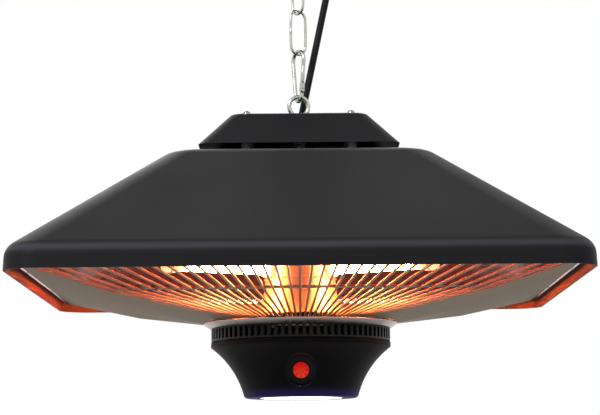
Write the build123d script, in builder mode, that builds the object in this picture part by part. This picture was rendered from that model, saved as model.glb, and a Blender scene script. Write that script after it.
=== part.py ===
from build123d import *
from math import asin, cos, degrees, radians, sin, sqrt, tan
import os

os.makedirs("parts", exist_ok=True)

# All lengths are in millimetres. The origin is where the ceiling plate meets the ceiling, on the axis of
# the heater, and Z points up. Heights are counted from the canopy's lower rim and set by up().
touch_gap = 0.1
swing_gap = 0.3
overrun = 5.0

# Canopy, cap and the stack of screws that ties them
sheet = 1.2
canopy_half = 212.5
canopy_skirt_lean = 0.9
canopy_skirt_half = canopy_half - canopy_skirt_lean
canopy_skirt_height = 16.5
canopy_top_half = 98.0
canopy_height = 101.0
canopy_corner = 26.0
canopy_top_corner = 20.0
canopy_skirt_bend = 15.0
canopy_top_bend = 20.0
vent_hole_radius = 7.0
vent_hole_count = 8
vent_circle_radius = 33.0

cap_half = 77.8
cap_top_half = 52.6
cap_gap = 7.0
cap_height = 27.0
cap_corner = 9.0
cap_top_corner = 8.0
cap_top_bend = 5.0
cap_base = canopy_height + cap_gap
cap_top = cap_base + cap_height

tie_offset = 41.0
tie_radius = 2.0
tie_hole_radius = 2.2
tie_spacer_radius = 4.5
tie_head_radius = 3.6
tie_head_height = 2.6
tie_dome_height = 2.0
tie_nut_flats = 7.0
tie_nut_height = 3.2

# Reflector pan
pan_sheet = 0.8
pan_gap = 4.4
pan_half = canopy_skirt_half - sheet - pan_gap
pan_lip_base = 8.0
pan_lip_top = 11.5
pan_flange_width = 9.0
pan_flange_rise = 1.0
pan_top_half = 120.0
pan_drop = 48.0
pan_height = canopy_height - pan_drop
pan_corner = 24.0
pan_flange_corner = 18.0
pan_top_corner = 16.0

# Reflector column
column_radius = 28.2
column_wall = 0.8
column_step_height = 8.5
column_flange_width = 9.8
column_flange_radius = column_radius + column_flange_width
column_flange = 1.2
column_bead = 1.0
column_screw_set_out = 4.8
column_screw_circle = column_radius + column_screw_set_out
column_screw_count = 4
column_screw_radius = 2.0
column_screw_head = 3.6
column_screw_head_height = 2.4
flare_foot_radius = 41.0
flare_mid_radius = 31.6
flare_flange_width = 9.0
flare_flange_radius = flare_foot_radius + flare_flange_width
flare_straight = 6.0
foot_screw_circle = flare_foot_radius + flare_flange_width / 2
foot_screw_count = 3

# Halogen lamps, set round the column like the spokes of a wheel
lamp_count = 3
lamp_first_angle = 90.0
lamp_height = 17.0
lamp_radius = 5.5
lamp_glass = 0.8
lamp_length = 80.0
lamp_filament_radius = 1.2
lamp_socket_side = 14.0
lamp_socket_length = 3.0
lamp_socket_corner = 1.75
lamp_start = column_radius + lamp_socket_length
lamp_end = lamp_start + lamp_length
lamp_cap_radius = 7.0
lamp_cap_length = 10.0
lamp_bracket_width = 13.0
lamp_bracket_sheet = 1.0
lamp_bracket_foot = 10.0

# Wire guard
wire_count = 136
wire_first_angle = -90.0
wire_radius = 1.0
wire_sides = 6
ring_sides = 8
wire_slope = 0.32
weld_gap = 0.05
frame_wire_radius = 1.5
frame_set_in = 3.4
frame_half = pan_half - frame_set_in
frame_height = 9.1
frame_corner = 20.6
middle_wire_radius = 1.2
middle_half = 139.0
middle_height = -8.7
middle_corner = 25.0
wire_overhang = 1.0
collar_foot_gap = 0.3
collar_ledge = 0.8
collar_reach = 6.0
collar_sheet = 0.9
collar_height = 3.5
wire_end_overhang = 1.6
clip_sheet = 0.8
clip_width = 5.0
clip_step_share = 0.85

# Lower housing
housing_top = -22.0
plate_thickness = 2.0
plate_hole_radius = 20.5
vent_radius = 71.0
vent_step = 1.0
vent_neck_radius = vent_radius - vent_step
vent_wall = 3.0
vent_shoulder = -30.4
vent_base = -41.0
vent_slot_count = 80
vent_slot_width = 3.2
vent_slot_top = -31.3
vent_slot_height = 8.2
vent_ledge_width = 4.0
vent_ledge_height = 2.0
reveal_gap = 0.4
lip_overhang = 0.3
lip_radius = vent_radius + lip_overhang
lip_height = 3.8
cup_wall = 2.5
cup_curve_radius = 69.7
cup_base_radius = 44.9
cup_base_bend = 3.3
cup_base = -85.4
cup_spigot = 4.0
light_radius = 32.8

# Button
button_height = -65.2
button_radius = 6.1
button_gap = 0.2
button_travel = 1.5
button_dome = 3.6
button_crown_share = 0.3
button_shoulder_share = 0.72
button_length = 11.0
recess_radius = 12.75
recess_wall = 1.2
recess_floor = 2.0
recess_depth = 45.0
guide_wall = 1.6
guide_radius = button_radius + button_gap + guide_wall
guide_length = 9.0
switch_height = 5.0
plunger_radius = 2.0
plunger_gap = 0.2

# Boards and light in the housing
board = 1.6
control_board_height = -55.5
notch_gap = 1.5
chip_side = 14.0
chip_height = 3.0
lens_flange_radius = 36.0
lens_flange = 1.5
lens_ring_wall = 2.0
lens_ring_height = 6.0
led_count = 6
led_circle_share = 0.55
led_side = 4.0
led_height = 1.2

# Terminal block and thermal cut-out on the pan
terminal_length = 36.0
terminal_width = 20.0
terminal_height = 16.0
terminal_place = 78.0
terminal_ways = 3
terminal_hole_radius = 3.0
cutout_radius = 8.0
cutout_height = 7.0
cutout_tab_length = 26.0
cutout_tab_width = 8.0
cutout_tab = 1.0

# Suspension: eye bolt, snap hook, two chain links and the ceiling hook. Bent wire has a few flats, not a round
# section, to keep the mesh light.
bent_wire_sides = 12
eye_wire_radius = 1.7
eye_ring_radius = 8.0
eye_turn = 15.0
eye_shank_radius = 3.0
eye_washer_radius = 8.0
eye_washer = 1.2
eye_nut_flats = 10.0
eye_nut_height = 2.5
eye_lower_nut_height = 5.0
eye_spacer_radius = 5.0

hook_wire_radius = 1.6
hook_length = 41.2
hook_top_radius = 8.4
hook_foot_radius = 4.6
hook_turn = -60.0
gate_start_share = 0.15
gate_end_share = 0.88
gate_tongue = 1.4
gate_tongue_radius = 2.1
gate_cheek_gap = 0.12
gate_fork_length = 6.0
gate_pin_radius = 0.6
gate_end_gap = 0.35

link_wire_radius = 1.1
link_length = 38.0
link_width = 16.4
link_turn = 36.0

ceiling_hook_wire_radius = 2.0
ceiling_hook_radius = 9.0
ceiling_hook_gap_angle = 45.0
ceiling_plate_radius = 52.0
ceiling_plate = 4.0
ceiling_plate_bend = 1.5
ceiling_screw_circle = 38.0
ceiling_screw_radius = 2.6
ceiling_screw_count = 3
ceiling_screw_first_angle = 90.0
ceiling_shank = 20.2
ceiling_nut_flats = 10.0
ceiling_nut_height = 5.0

# Supply cable, pulled straight from the cap to the ceiling
cable_radius = 2.8
cable_place_x = 0.5
cable_place_y = 14.0
cable_lean = 12.1
gland_length = 8.0
gland_foot_radius = 6.2
gland_mouth_radius = 4.0
ceiling_gland_length = 6.0

# Heights that follow from the stack
cap_under = cap_top - sheet
canopy_under = canopy_height - sheet
pan_under = pan_height - pan_sheet
eye_height = cap_top + eye_washer + eye_nut_height + eye_wire_radius + eye_ring_radius + touch_gap
hook_foot = eye_height + eye_ring_radius - eye_wire_radius - swing_gap - hook_wire_radius
hook_head = hook_foot + hook_length
lower_link_foot = hook_head - hook_wire_radius - swing_gap - link_wire_radius
link_pitch = link_length - 2 * link_wire_radius
lower_link_head = lower_link_foot + link_pitch
upper_link_foot = lower_link_head - 2 * link_wire_radius - swing_gap
upper_link_head = upper_link_foot + link_pitch
ceiling_hook_foot = upper_link_head - link_wire_radius - swing_gap - ceiling_hook_wire_radius
ceiling_hook_height = ceiling_hook_foot + ceiling_hook_radius
shank_base = ceiling_hook_height + ceiling_hook_radius
ceiling_drop = shank_base + ceiling_shank
ceiling_plate_under = ceiling_drop - ceiling_plate


def up(height):
    """The Z of a height above the canopy's lower rim."""
    return height - ceiling_drop


def keep(piece, name):
    """Labels a finished piece and writes its file."""
    piece.part.label = name
    export_step(piece.part, f"parts/{name}.step")


def upright_plane(turn, height):
    """A plane that stands on edge through the axis: X runs out level at the turn's angle, Y runs up."""
    flat = Vector(cos(radians(turn)), sin(radians(turn)), 0)
    return Plane(origin=(0, 0, up(height)), x_dir=flat, z_dir=flat.cross(Vector(0, 0, 1)))


def set_in(outline, thickness, below):
    """A hood's outline one sheet further in. Each bend is mitred, and the foot runs on below the rim."""
    lines = []
    for (half, height), (next_half, next_height) in zip(outline, outline[1:]):
        run = Vector(next_half - half, next_height - height).normalized()
        lines.append((Vector(half, height) + Vector(-run.Y, run.X) * thickness, run))
    ceiling = outline[-1][1] - thickness
    corners = []
    for (start, run), (other, other_run) in zip(lines, lines[1:]):
        across = run.X * other_run.Y - run.Y * other_run.X
        reach = ((other.X - start.X) * other_run.Y - (other.Y - start.Y) * other_run.X) / across
        corners.append(start + run * reach)
    first, first_run = lines[0]
    foot = first + first_run * ((outline[0][1] - below - first.Y) / first_run.Y)
    last, last_run = lines[-1]
    head = last + last_run * ((ceiling - last.Y) / last_run.Y)
    return [(point.X, point.Y) for point in [foot, *corners, head]]


def hood_solid(outline, corners, bends):
    """A square hood as a solid block: rounded squares joined by flat slopes, with its bends rounded."""
    with BuildPart() as block:
        for (half, height), corner in zip(outline, corners):
            with BuildSketch(Plane.XY.offset(up(height))):
                RectangleRounded(2 * half, 2 * half, corner)
        loft(ruled=True)
        for height, bend in bends:
            level = up(height)
            ring = [e for e in block.edges() if abs(e.center().Z - level) < touch_gap]
            fillet([e for e in ring if e.bounding_box().size.Z < touch_gap], bend)
    return block.part


def hood_shell(outline, corners, bends, thickness):
    """The sheet-metal hood: the block less the same block one sheet further in."""
    inside = set_in(outline, thickness, overrun)
    inner_corners = [corner - thickness for corner in corners]
    drops = {height: inner[1] for (half, height), inner in zip(outline, inside)}
    inner_bends = [(drops[height], bend - thickness) for height, bend in bends]
    return hood_solid(outline, corners, bends) - hood_solid(inside, inner_corners, inner_bends)


# Canopy: a folded steel hood. Holes in its top let hot air out under the cap.
canopy_outline = [
    (canopy_half, 0),
    (canopy_skirt_half, canopy_skirt_height),
    (canopy_top_half, canopy_height),
]
canopy_sheet = hood_shell(
    canopy_outline,
    [canopy_corner, canopy_corner, canopy_top_corner],
    [(canopy_skirt_height, canopy_skirt_bend), (canopy_height, canopy_top_bend)],
    sheet,
)
with BuildPart() as canopy:
    add(canopy_sheet)
    with BuildSketch(Plane.XY.offset(up(canopy_height))):
        with GridLocations(2 * tie_offset, 2 * tie_offset, 2, 2):
            Circle(tie_hole_radius)
        with PolarLocations(vent_circle_radius, vent_hole_count):
            Circle(vent_hole_radius)
        Circle(eye_shank_radius + touch_gap)
    extrude(amount=-overrun, mode=Mode.SUBTRACT)
keep(canopy, "canopy")

# Vent cap: the small hood that keeps rain out of the holes in the canopy.
cable_run = Vector(sin(radians(cable_lean)), 0, cos(radians(cable_lean)))
cable_foot = Vector(cable_place_x, cable_place_y, up(cap_top))
cap_sheet = hood_shell(
    [(cap_half, cap_base), (cap_top_half, cap_top)],
    [cap_corner, cap_top_corner],
    [(cap_top, cap_top_bend)],
    sheet,
)
with BuildPart() as vent_cap:
    add(cap_sheet)
    with BuildSketch(Plane.XY.offset(up(cap_top))):
        with GridLocations(2 * tie_offset, 2 * tie_offset, 2, 2):
            Circle(tie_hole_radius)
        Circle(eye_shank_radius + touch_gap)
        with Locations((cable_place_x, cable_place_y)):
            Circle(gland_mouth_radius)
    extrude(amount=-overrun, mode=Mode.SUBTRACT)
keep(vent_cap, "vent_cap")


def spacer_set(low, high, bore):
    """Four tubes on the tie screws, between two heights."""
    with BuildPart() as tubes:
        with BuildSketch(Plane.XY.offset(up(low))):
            with GridLocations(2 * tie_offset, 2 * tie_offset, 2, 2):
                Circle(tie_spacer_radius)
                Circle(bore, mode=Mode.SUBTRACT)
        extrude(amount=high - low)
    return tubes


# Posts between cap and canopy, and the spacers that hold the pan below the canopy.
cap_posts = spacer_set(canopy_height, cap_under, tie_hole_radius)
keep(cap_posts, "cap_posts")
pan_spacers = spacer_set(pan_height, canopy_under, tie_hole_radius)
keep(pan_spacers, "pan_spacers")

# Four long tie screws with domed heads on the cap, and a nut on each under the pan.
tie_tail = pan_under - tie_nut_height - tie_radius
with BuildPart() as tie_screws:
    with GridLocations(2 * tie_offset, 2 * tie_offset, 2, 2):
        with Locations((0, 0, up(tie_tail))):
            Cylinder(tie_radius, cap_top - tie_tail, align=(Align.CENTER, Align.CENTER, Align.MIN))
        with Locations((0, 0, up(cap_top))):
            Cylinder(tie_head_radius, tie_head_height, align=(Align.CENTER, Align.CENTER, Align.MIN))
    tops = tie_screws.edges().group_by(Axis.Z)[-1]
    fillet(tops, tie_dome_height)
keep(tie_screws, "tie_screws")

with BuildPart() as tie_nuts:
    with BuildSketch(Plane.XY.offset(up(pan_under - tie_nut_height))):
        with GridLocations(2 * tie_offset, 2 * tie_offset, 2, 2):
            RegularPolygon(tie_nut_flats / 2, 6, major_radius=False)
            Circle(tie_radius + touch_gap / 2, mode=Mode.SUBTRACT)
    extrude(amount=tie_nut_height)
keep(tie_nuts, "tie_nuts")

# Reflector pan: a shallow square dish upside down, with a narrow flange and a lip round its edge.
pan_outline = [
    (pan_half, pan_lip_base),
    (pan_half, pan_lip_top),
    (pan_half - pan_flange_width, pan_lip_top + pan_flange_rise),
    (pan_top_half, pan_height),
]
pan_corners = [pan_corner, pan_corner, pan_flange_corner, pan_top_corner]
pan_shell = hood_shell(pan_outline, pan_corners, [], pan_sheet)
with BuildPart() as reflector_pan:
    add(pan_shell)
    with BuildSketch(Plane.XY.offset(up(pan_height))):
        with GridLocations(2 * tie_offset, 2 * tie_offset, 2, 2):
            Circle(tie_hole_radius)
        with PolarLocations(column_screw_circle, column_screw_count):
            Circle(column_screw_radius + touch_gap)
        Circle(column_radius - column_wall)
    extrude(amount=-overrun, mode=Mode.SUBTRACT)
keep(reflector_pan, "reflector_pan")

# Upper column: a polished tube hung from the pan by its flange.
flange_top = pan_under
with BuildPart() as column_tube:
    with BuildSketch(Plane.XY.offset(up(column_step_height))):
        Circle(column_radius)
        Circle(column_radius - column_wall, mode=Mode.SUBTRACT)
    extrude(amount=flange_top - column_step_height)
    with BuildSketch(Plane.XY.offset(up(flange_top - column_flange))):
        Circle(column_flange_radius)
        Circle(column_radius - column_wall, mode=Mode.SUBTRACT)
        with PolarLocations(column_screw_circle, column_screw_count):
            Circle(column_screw_radius + touch_gap, mode=Mode.SUBTRACT)
    extrude(amount=column_flange)
    with BuildSketch(Plane.XY.offset(up(column_step_height))):
        Circle(column_radius + column_bead)
        Circle(column_radius - column_wall, mode=Mode.SUBTRACT)
    extrude(amount=column_bead)
keep(column_tube, "column_tube")

with BuildPart() as column_screws:
    head_base = flange_top - column_flange - column_screw_head_height
    with PolarLocations(column_screw_circle, column_screw_count):
        with Locations((0, 0, up(head_base))):
            Cylinder(
                column_screw_head,
                column_screw_head_height,
                align=(Align.CENTER, Align.CENTER, Align.MIN),
            )
            Cylinder(
                column_screw_radius,
                column_screw_head_height + column_flange + pan_sheet + column_screw_head_height,
                align=(Align.CENTER, Align.CENTER, Align.MIN),
            )
keep(column_screws, "column_screws")

# Lower column: it flares out to its foot on the housing plate.
flare_top = column_step_height - touch_gap
flare_base = housing_top
flare_curve_top = flare_top - flare_straight
flare_mid = (flare_curve_top + flare_base) / 2
with BuildPart() as column_flare:
    with BuildSketch(Plane.XZ):
        with BuildLine():
            outer = ThreePointArc(
                (column_radius, up(flare_curve_top)),
                (flare_mid_radius, up(flare_mid)),
                (flare_foot_radius, up(flare_base + column_wall)),
            )
            Line((column_radius, up(flare_top)), outer @ 0)
            Line((column_radius, up(flare_top)), (column_radius - column_wall, up(flare_top)))
            inner = ThreePointArc(
                (column_radius - column_wall, up(flare_curve_top)),
                (flare_mid_radius - column_wall, up(flare_mid)),
                (flare_foot_radius - column_wall, up(flare_base)),
            )
            Line((column_radius - column_wall, up(flare_top)), inner @ 0)
            rim = Line(outer @ 1, (flare_flange_radius, up(flare_base + column_wall)))
            Line(rim @ 1, (flare_flange_radius, up(flare_base)))
            Line((flare_flange_radius, up(flare_base)), inner @ 1)
        make_face()
    revolve(axis=Axis.Z)
    with BuildSketch(Plane.XY.offset(up(flare_base + column_wall))):
        with PolarLocations(foot_screw_circle, foot_screw_count):
            Circle(column_screw_radius + touch_gap)
    extrude(amount=-overrun, mode=Mode.SUBTRACT)
keep(column_flare, "column_flare")


def lamp_angles():
    return [lamp_first_angle + 360 * index / lamp_count for index in range(lamp_count)]


def lamp_plane(angle, reach):
    """A plane across a lamp's axis, at a distance from the column's axis: X is level, Y runs up."""
    way = Vector(cos(radians(angle)), sin(radians(angle)), 0)
    spot = way * reach + Vector(0, 0, up(lamp_height))
    return Plane(origin=spot, x_dir=Vector(0, 0, 1).cross(way), z_dir=way)


# Halogen lamps: glass tubes, with the coil on a rod along the middle.
with BuildPart() as lamp_tubes:
    for angle in lamp_angles():
        with BuildSketch(lamp_plane(angle, lamp_start)):
            Circle(lamp_radius)
            Circle(lamp_radius - lamp_glass, mode=Mode.SUBTRACT)
        extrude(amount=lamp_end - lamp_start)
keep(lamp_tubes, "lamp_tubes")

with BuildPart() as lamp_filaments:
    for angle in lamp_angles():
        with BuildSketch(lamp_plane(angle, lamp_start)):
            Circle(lamp_filament_radius)
        extrude(amount=lamp_end - lamp_start)
keep(lamp_filaments, "lamp_filaments")

# Ceramic sockets between the column and the inner ends of the lamps, hollowed to the column's curve.
with BuildPart() as lamp_sockets:
    for angle in lamp_angles():
        with BuildSketch(lamp_plane(angle, column_radius - overrun)):
            RectangleRounded(lamp_socket_side, lamp_socket_side, lamp_socket_corner)
        extrude(amount=lamp_start - column_radius + overrun)
    with BuildSketch(Plane.XY.offset(up(lamp_height - lamp_socket_side))):
        Circle(column_radius + touch_gap)
    extrude(amount=2 * lamp_socket_side, mode=Mode.SUBTRACT)
keep(lamp_sockets, "lamp_sockets")

# Ceramic caps on the outer ends.
with BuildPart() as lamp_caps:
    for angle in lamp_angles():
        with BuildSketch(lamp_plane(angle, lamp_end)):
            Circle(lamp_cap_radius)
        extrude(amount=lamp_cap_length)
keep(lamp_caps, "lamp_caps")

# Brackets that hang the outer ends from the pan.
bracket_reach = lamp_end + lamp_cap_length / 2
with BuildPart() as lamp_brackets:
    for angle in lamp_angles():
        with BuildSketch(lamp_plane(angle, bracket_reach)):
            Circle(lamp_cap_radius + touch_gap + lamp_bracket_sheet)
            with Locations((0, (pan_under - lamp_height) / 2)):
                Rectangle(lamp_bracket_width, pan_under - lamp_height)
            Circle(lamp_cap_radius + touch_gap, mode=Mode.SUBTRACT)
        extrude(amount=lamp_bracket_sheet)
        with BuildSketch(lamp_plane(angle, bracket_reach - lamp_bracket_foot)):
            with Locations((0, pan_under - lamp_height - lamp_bracket_sheet / 2)):
                Rectangle(lamp_bracket_width, lamp_bracket_sheet)
        extrude(amount=lamp_bracket_foot)
keep(lamp_brackets, "lamp_brackets")


def square_reach(angle, half, corner):
    """The distance from the axis to a rounded square along a ray at an angle in degrees."""
    folded = abs((angle + 45) % 90 - 45)
    along, across = cos(radians(folded)), sin(radians(folded))
    if half * across / along <= half - corner:
        return half / along
    centre = half - corner
    lean = centre * (along + across)
    return lean + sqrt(lean**2 - 2 * centre**2 + corner**2)


def ring_weld(ring_radius, slope):
    """How far a guard wire's centre lies below a ring's centre where the two are welded, on a slope."""
    return (ring_radius + wire_radius + weld_gap) * sqrt(1 + slope**2)


wire_knee = middle_height - ring_weld(middle_wire_radius, wire_slope)
wire_rim = frame_height - ring_weld(frame_wire_radius, wire_slope)
collar_foot_radius = vent_neck_radius + collar_foot_gap
collar_bend_radius = vent_radius + collar_ledge
collar_radius = vent_radius + collar_reach
collar_top = vent_shoulder + collar_sheet + collar_height
collar_seat_radius = collar_radius - collar_sheet
wire_inner_radius = collar_seat_radius - wire_end_overhang
wire_foot = collar_top + ring_weld(0, wire_slope)


def guard_wire(angle):
    """One wire of the guard: a straight run from the outer frame to the middle ring, and one to the collar."""
    way = Vector(cos(radians(angle)), sin(radians(angle)), 0)
    rim_reach = square_reach(angle, frame_half, frame_corner)
    knee_reach = square_reach(angle, middle_half, middle_corner)
    outer_slope = (wire_rim - wire_knee) / (rim_reach - knee_reach)
    inner_slope = (wire_knee - wire_foot) / (knee_reach - collar_seat_radius)
    rim = way * (rim_reach + wire_overhang) + Vector(0, 0, up(wire_rim + wire_overhang * outer_slope))
    knee = way * knee_reach + Vector(0, 0, up(wire_knee))
    foot = way * wire_inner_radius + Vector(0, 0, up(wire_foot - wire_end_overhang * inner_slope))
    with BuildPart() as wire:
        with BuildLine() as run:
            Polyline(rim, knee, foot)
        with BuildSketch(Plane(rim, x_dir=Vector(0, 0, 1).cross(way), z_dir=knee - rim)):
            RegularPolygon(wire_radius, wire_sides)
        sweep(path=run.wires()[0], transition=Transition.RIGHT)
    return wire.part


# Guard wires: the radial wires, each welded under the outer frame and the middle ring.
wire_step = 360 / wire_count
wires = [guard_wire(wire_first_angle + wire_step * index) for index in range(wire_count)]
with BuildPart() as guard_wires:
    add(wires)
keep(guard_wires, "guard_wires")


def square_ring(half, corner, height, radius):
    """A closed ring of round wire on a rounded square."""
    level = Plane.XY.offset(up(height))
    with BuildPart() as ring:
        with BuildSketch(level, mode=Mode.PRIVATE) as loop:
            RectangleRounded(2 * half, 2 * half, corner)
        path = loop.sketch.faces()[0].outer_wire()
        with BuildSketch(Plane(origin=path @ 0, z_dir=path % 0)):
            RegularPolygon(radius, ring_sides)
        sweep(path=path)
    return ring


guard_outer_frame = square_ring(frame_half, frame_corner, frame_height, frame_wire_radius)
keep(guard_outer_frame, "guard_outer_frame")
guard_middle_ring = square_ring(middle_half, middle_corner, middle_height, middle_wire_radius)
keep(guard_middle_ring, "guard_middle_ring")

# Guard collar: a bright dished ring, which sits on the shoulder of the vent ring.
with BuildPart() as guard_collar:
    with BuildSketch(Plane.XZ):
        with BuildLine():
            Polyline(
                (collar_foot_radius, up(vent_shoulder)),
                (collar_bend_radius, up(vent_shoulder)),
                (collar_radius, up(collar_top - collar_sheet)),
                (collar_radius, up(collar_top)),
                (collar_radius - collar_sheet, up(collar_top)),
                (collar_bend_radius - collar_sheet / 2, up(vent_shoulder + collar_sheet)),
                (collar_foot_radius, up(vent_shoulder + collar_sheet)),
                close=True,
            )
        make_face()
    revolve(axis=Axis.Z)
keep(guard_collar, "guard_collar")

# Guard clips: two saddles a side, between wires, which hold the outer frame up under the pan's flange.
clip_step = int((frame_half - frame_corner) * clip_step_share / (frame_half * tan(radians(wire_step))) / 2)
clip_place = frame_half * tan(radians((2 * clip_step + 1) * wire_step / 2))
pan_flange_under = pan_lip_top - pan_sheet
clip_outer = frame_wire_radius + touch_gap + clip_sheet
clip_leg = pan_flange_under - frame_height - touch_gap
with BuildPart() as guard_clips:
    for side in range(4):
        for place in (-clip_place, clip_place):
            way = Vector(cos(radians(90 * side)), sin(radians(90 * side)), 0)
            across = Vector(0, 0, 1).cross(way)
            spot = way * frame_half + across * (place - clip_width / 2) + Vector(0, 0, up(frame_height))
            with BuildSketch(Plane(origin=spot, x_dir=way, z_dir=across)):
                Circle(clip_outer)
                with Locations((0, -clip_leg / 2)):
                    Rectangle(2 * clip_outer, clip_leg)
                with Locations((0, -clip_leg - clip_outer / 2)):
                    Rectangle(2 * clip_outer, clip_outer, mode=Mode.SUBTRACT)
                Circle(frame_wire_radius + touch_gap, mode=Mode.SUBTRACT)
            extrude(amount=clip_width)
keep(guard_clips, "guard_clips")

# Housing plate: the disc that closes the top of the lower housing and carries it under the column.
plate_radius = vent_neck_radius - vent_wall - touch_gap
with BuildPart() as housing_plate:
    with BuildSketch(Plane.XY.offset(up(housing_top - plate_thickness))):
        Circle(plate_radius)
        with PolarLocations(foot_screw_circle, foot_screw_count):
            Circle(column_screw_radius + touch_gap, mode=Mode.SUBTRACT)
        Circle(plate_hole_radius, mode=Mode.SUBTRACT)
    extrude(amount=plate_thickness)
keep(housing_plate, "housing_plate")

with BuildPart() as foot_screws:
    with PolarLocations(foot_screw_circle, foot_screw_count):
        with Locations((0, 0, up(housing_top + column_wall))):
            Cylinder(
                column_screw_head,
                column_screw_head_height,
                align=(Align.CENTER, Align.CENTER, Align.MIN),
            )
        with Locations((0, 0, up(housing_top - plate_thickness - column_screw_head_height))):
            Cylinder(
                column_screw_radius,
                plate_thickness + column_wall + column_screw_head_height,
                align=(Align.CENTER, Align.CENTER, Align.MIN),
            )
keep(foot_screws, "foot_screws")

# Vent ring: a moulded ring with a row of upright slots that cool the electronics.
with BuildPart() as vent_ring:
    with BuildSketch(Plane.XZ):
        with BuildLine():
            Polyline(
                (vent_neck_radius - vent_wall, up(housing_top)),
                (vent_neck_radius, up(housing_top)),
                (vent_neck_radius, up(vent_shoulder)),
                (vent_radius, up(vent_shoulder)),
                (vent_radius, up(vent_base)),
                (vent_radius - vent_wall, up(vent_base)),
                (vent_radius - vent_wall, up(vent_shoulder)),
                (
                    vent_neck_radius - vent_wall - vent_ledge_width,
                    up(housing_top - plate_thickness - vent_ledge_height),
                ),
                (vent_neck_radius - vent_wall - vent_ledge_width, up(housing_top - plate_thickness)),
                (vent_neck_radius - vent_wall, up(housing_top - plate_thickness)),
                close=True,
            )
        make_face()
    revolve(axis=Axis.Z)
    with Locations((0, 0, up(vent_slot_top - vent_slot_height / 2))):
        with PolarLocations(vent_radius, vent_slot_count):
            Box(4 * vent_wall, vent_slot_width, vent_slot_height, mode=Mode.SUBTRACT)
keep(vent_ring, "vent_ring")

lip_top = vent_base - reveal_gap
lip_base = lip_top - lip_height


# The cup's hollow side is an arc about a point outside it. The hollow within has the same centre.
cup_head = Vector(lip_radius, lip_base)
cup_foot = Vector(cup_base_radius, cup_base)
cup_chord = cup_foot - cup_head
cup_set_out = sqrt(cup_curve_radius**2 - (cup_chord.length / 2) ** 2)
cup_centre = (cup_head + cup_foot) * 0.5 + Vector(-cup_chord.Y, cup_chord.X).normalized() * cup_set_out


def cup_reach(height, inset):
    """The radius of the cup's side at a height, set in by a wall."""
    return cup_centre.X - sqrt((cup_curve_radius + inset) ** 2 - (height - cup_centre.Y) ** 2)


def cup_solid(inset):
    """The trumpet-shaped cup as a solid, set in all round by a wall."""
    floor = cup_base + inset
    head_radius = cup_reach(lip_base, inset)
    with BuildPart() as cup:
        with BuildSketch(Plane.XZ):
            with BuildLine():
                Polyline((0, up(floor)), (0, up(lip_top)), (head_radius, up(lip_top)), (head_radius, up(lip_base)))
                side = [(cup_reach(height, inset), up(height)) for height in (lip_base, (lip_base + floor) / 2, floor)]
                ThreePointArc(*side)
                Line(side[2], (0, up(floor)))
            make_face()
        revolve(axis=Axis.Z)
    return cup


# Housing cup: the moulded lower shell, open for the lamp below and for the button in front.
with cup_solid(0) as cup_shape:
    fillet(cup_shape.edges().group_by(Axis.Z)[0], cup_base_bend)
cup_block = cup_shape.part
cup_hollow = cup_solid(cup_wall).part
spigot_radius = vent_radius - vent_wall - touch_gap
with BuildPart() as housing_cup:
    add(cup_block)
    add(cup_hollow, mode=Mode.SUBTRACT)
    with BuildSketch(Plane.XY.offset(up(lip_top - cup_wall))):
        Circle(lip_radius)
        Circle(spigot_radius - cup_wall, mode=Mode.SUBTRACT)
    extrude(amount=cup_wall)
    with BuildSketch(Plane.XY.offset(up(lip_top))):
        Circle(spigot_radius)
        Circle(spigot_radius - cup_wall, mode=Mode.SUBTRACT)
    extrude(amount=cup_spigot)
    with BuildSketch(Plane.XY.offset(up(cup_base))):
        Circle(light_radius)
    extrude(amount=2 * cup_wall, mode=Mode.SUBTRACT)
    with BuildSketch(Plane.XZ.offset(recess_depth - 2 * recess_floor)):
        with Locations((0, up(button_height))):
            Circle(recess_radius)
    extrude(amount=lip_radius, mode=Mode.SUBTRACT)
keep(housing_cup, "housing_cup")

# Button bezel: a cup set into the housing, cut to the curve of its side, with a guide for the button.
floor_back = recess_depth - recess_floor
bezel_radius = recess_radius - touch_gap
with BuildPart() as button_bezel:
    with BuildSketch(Plane.XZ.offset(floor_back)):
        with Locations((0, up(button_height))):
            Circle(bezel_radius)
    extrude(amount=lip_radius - floor_back)
    with BuildSketch(Plane.XZ.offset(recess_depth)):
        with Locations((0, up(button_height))):
            Circle(bezel_radius - recess_wall)
    extrude(amount=lip_radius - recess_depth, mode=Mode.SUBTRACT)
    add(cup_block, mode=Mode.INTERSECT)
    with BuildSketch(Plane.XZ.offset(floor_back - guide_length)):
        with Locations((0, up(button_height))):
            Circle(guide_radius)
    extrude(amount=guide_length)
    with BuildSketch(Plane.XZ.offset(floor_back - guide_length)):
        with Locations((0, up(button_height))):
            Circle(button_radius + button_gap)
    extrude(amount=guide_length + recess_floor, mode=Mode.SUBTRACT)
keep(button_bezel, "button_bezel")

# Red button: a lit cap with a domed face, which slides in the guide.
button_back = recess_depth - guide_length + button_travel
button_face = button_back + button_length
with BuildPart() as red_button:
    with BuildSketch(Plane.YZ):
        with BuildLine():
            Polyline(
                (-button_face + button_dome, up(button_height) + button_radius),
                (-button_back, up(button_height) + button_radius),
                (-button_back, up(button_height)),
                (-button_face, up(button_height)),
            )
            ThreePointArc(
                (-button_face, up(button_height)),
                (
                    -button_face + button_dome * button_crown_share,
                    up(button_height) + button_radius * button_shoulder_share,
                ),
                (-button_face + button_dome, up(button_height) + button_radius),
            )
        make_face()
    revolve(axis=Axis((0, 0, up(button_height)), (0, 1, 0)))
keep(red_button, "red_button")

# Push switch: a small switch closing the back of the guide, with its plunger up to the button.
switch_face = floor_back - guide_length
with BuildPart() as push_switch:
    with BuildSketch(Plane.XZ.offset(switch_face - switch_height)):
        with Locations((0, up(button_height))):
            Circle(guide_radius)
    extrude(amount=switch_height)
    with BuildSketch(Plane.XZ.offset(switch_face)):
        with Locations((0, up(button_height))):
            Circle(plunger_radius)
    extrude(amount=button_back - switch_face - button_travel - plunger_gap)
keep(push_switch, "push_switch")

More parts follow.
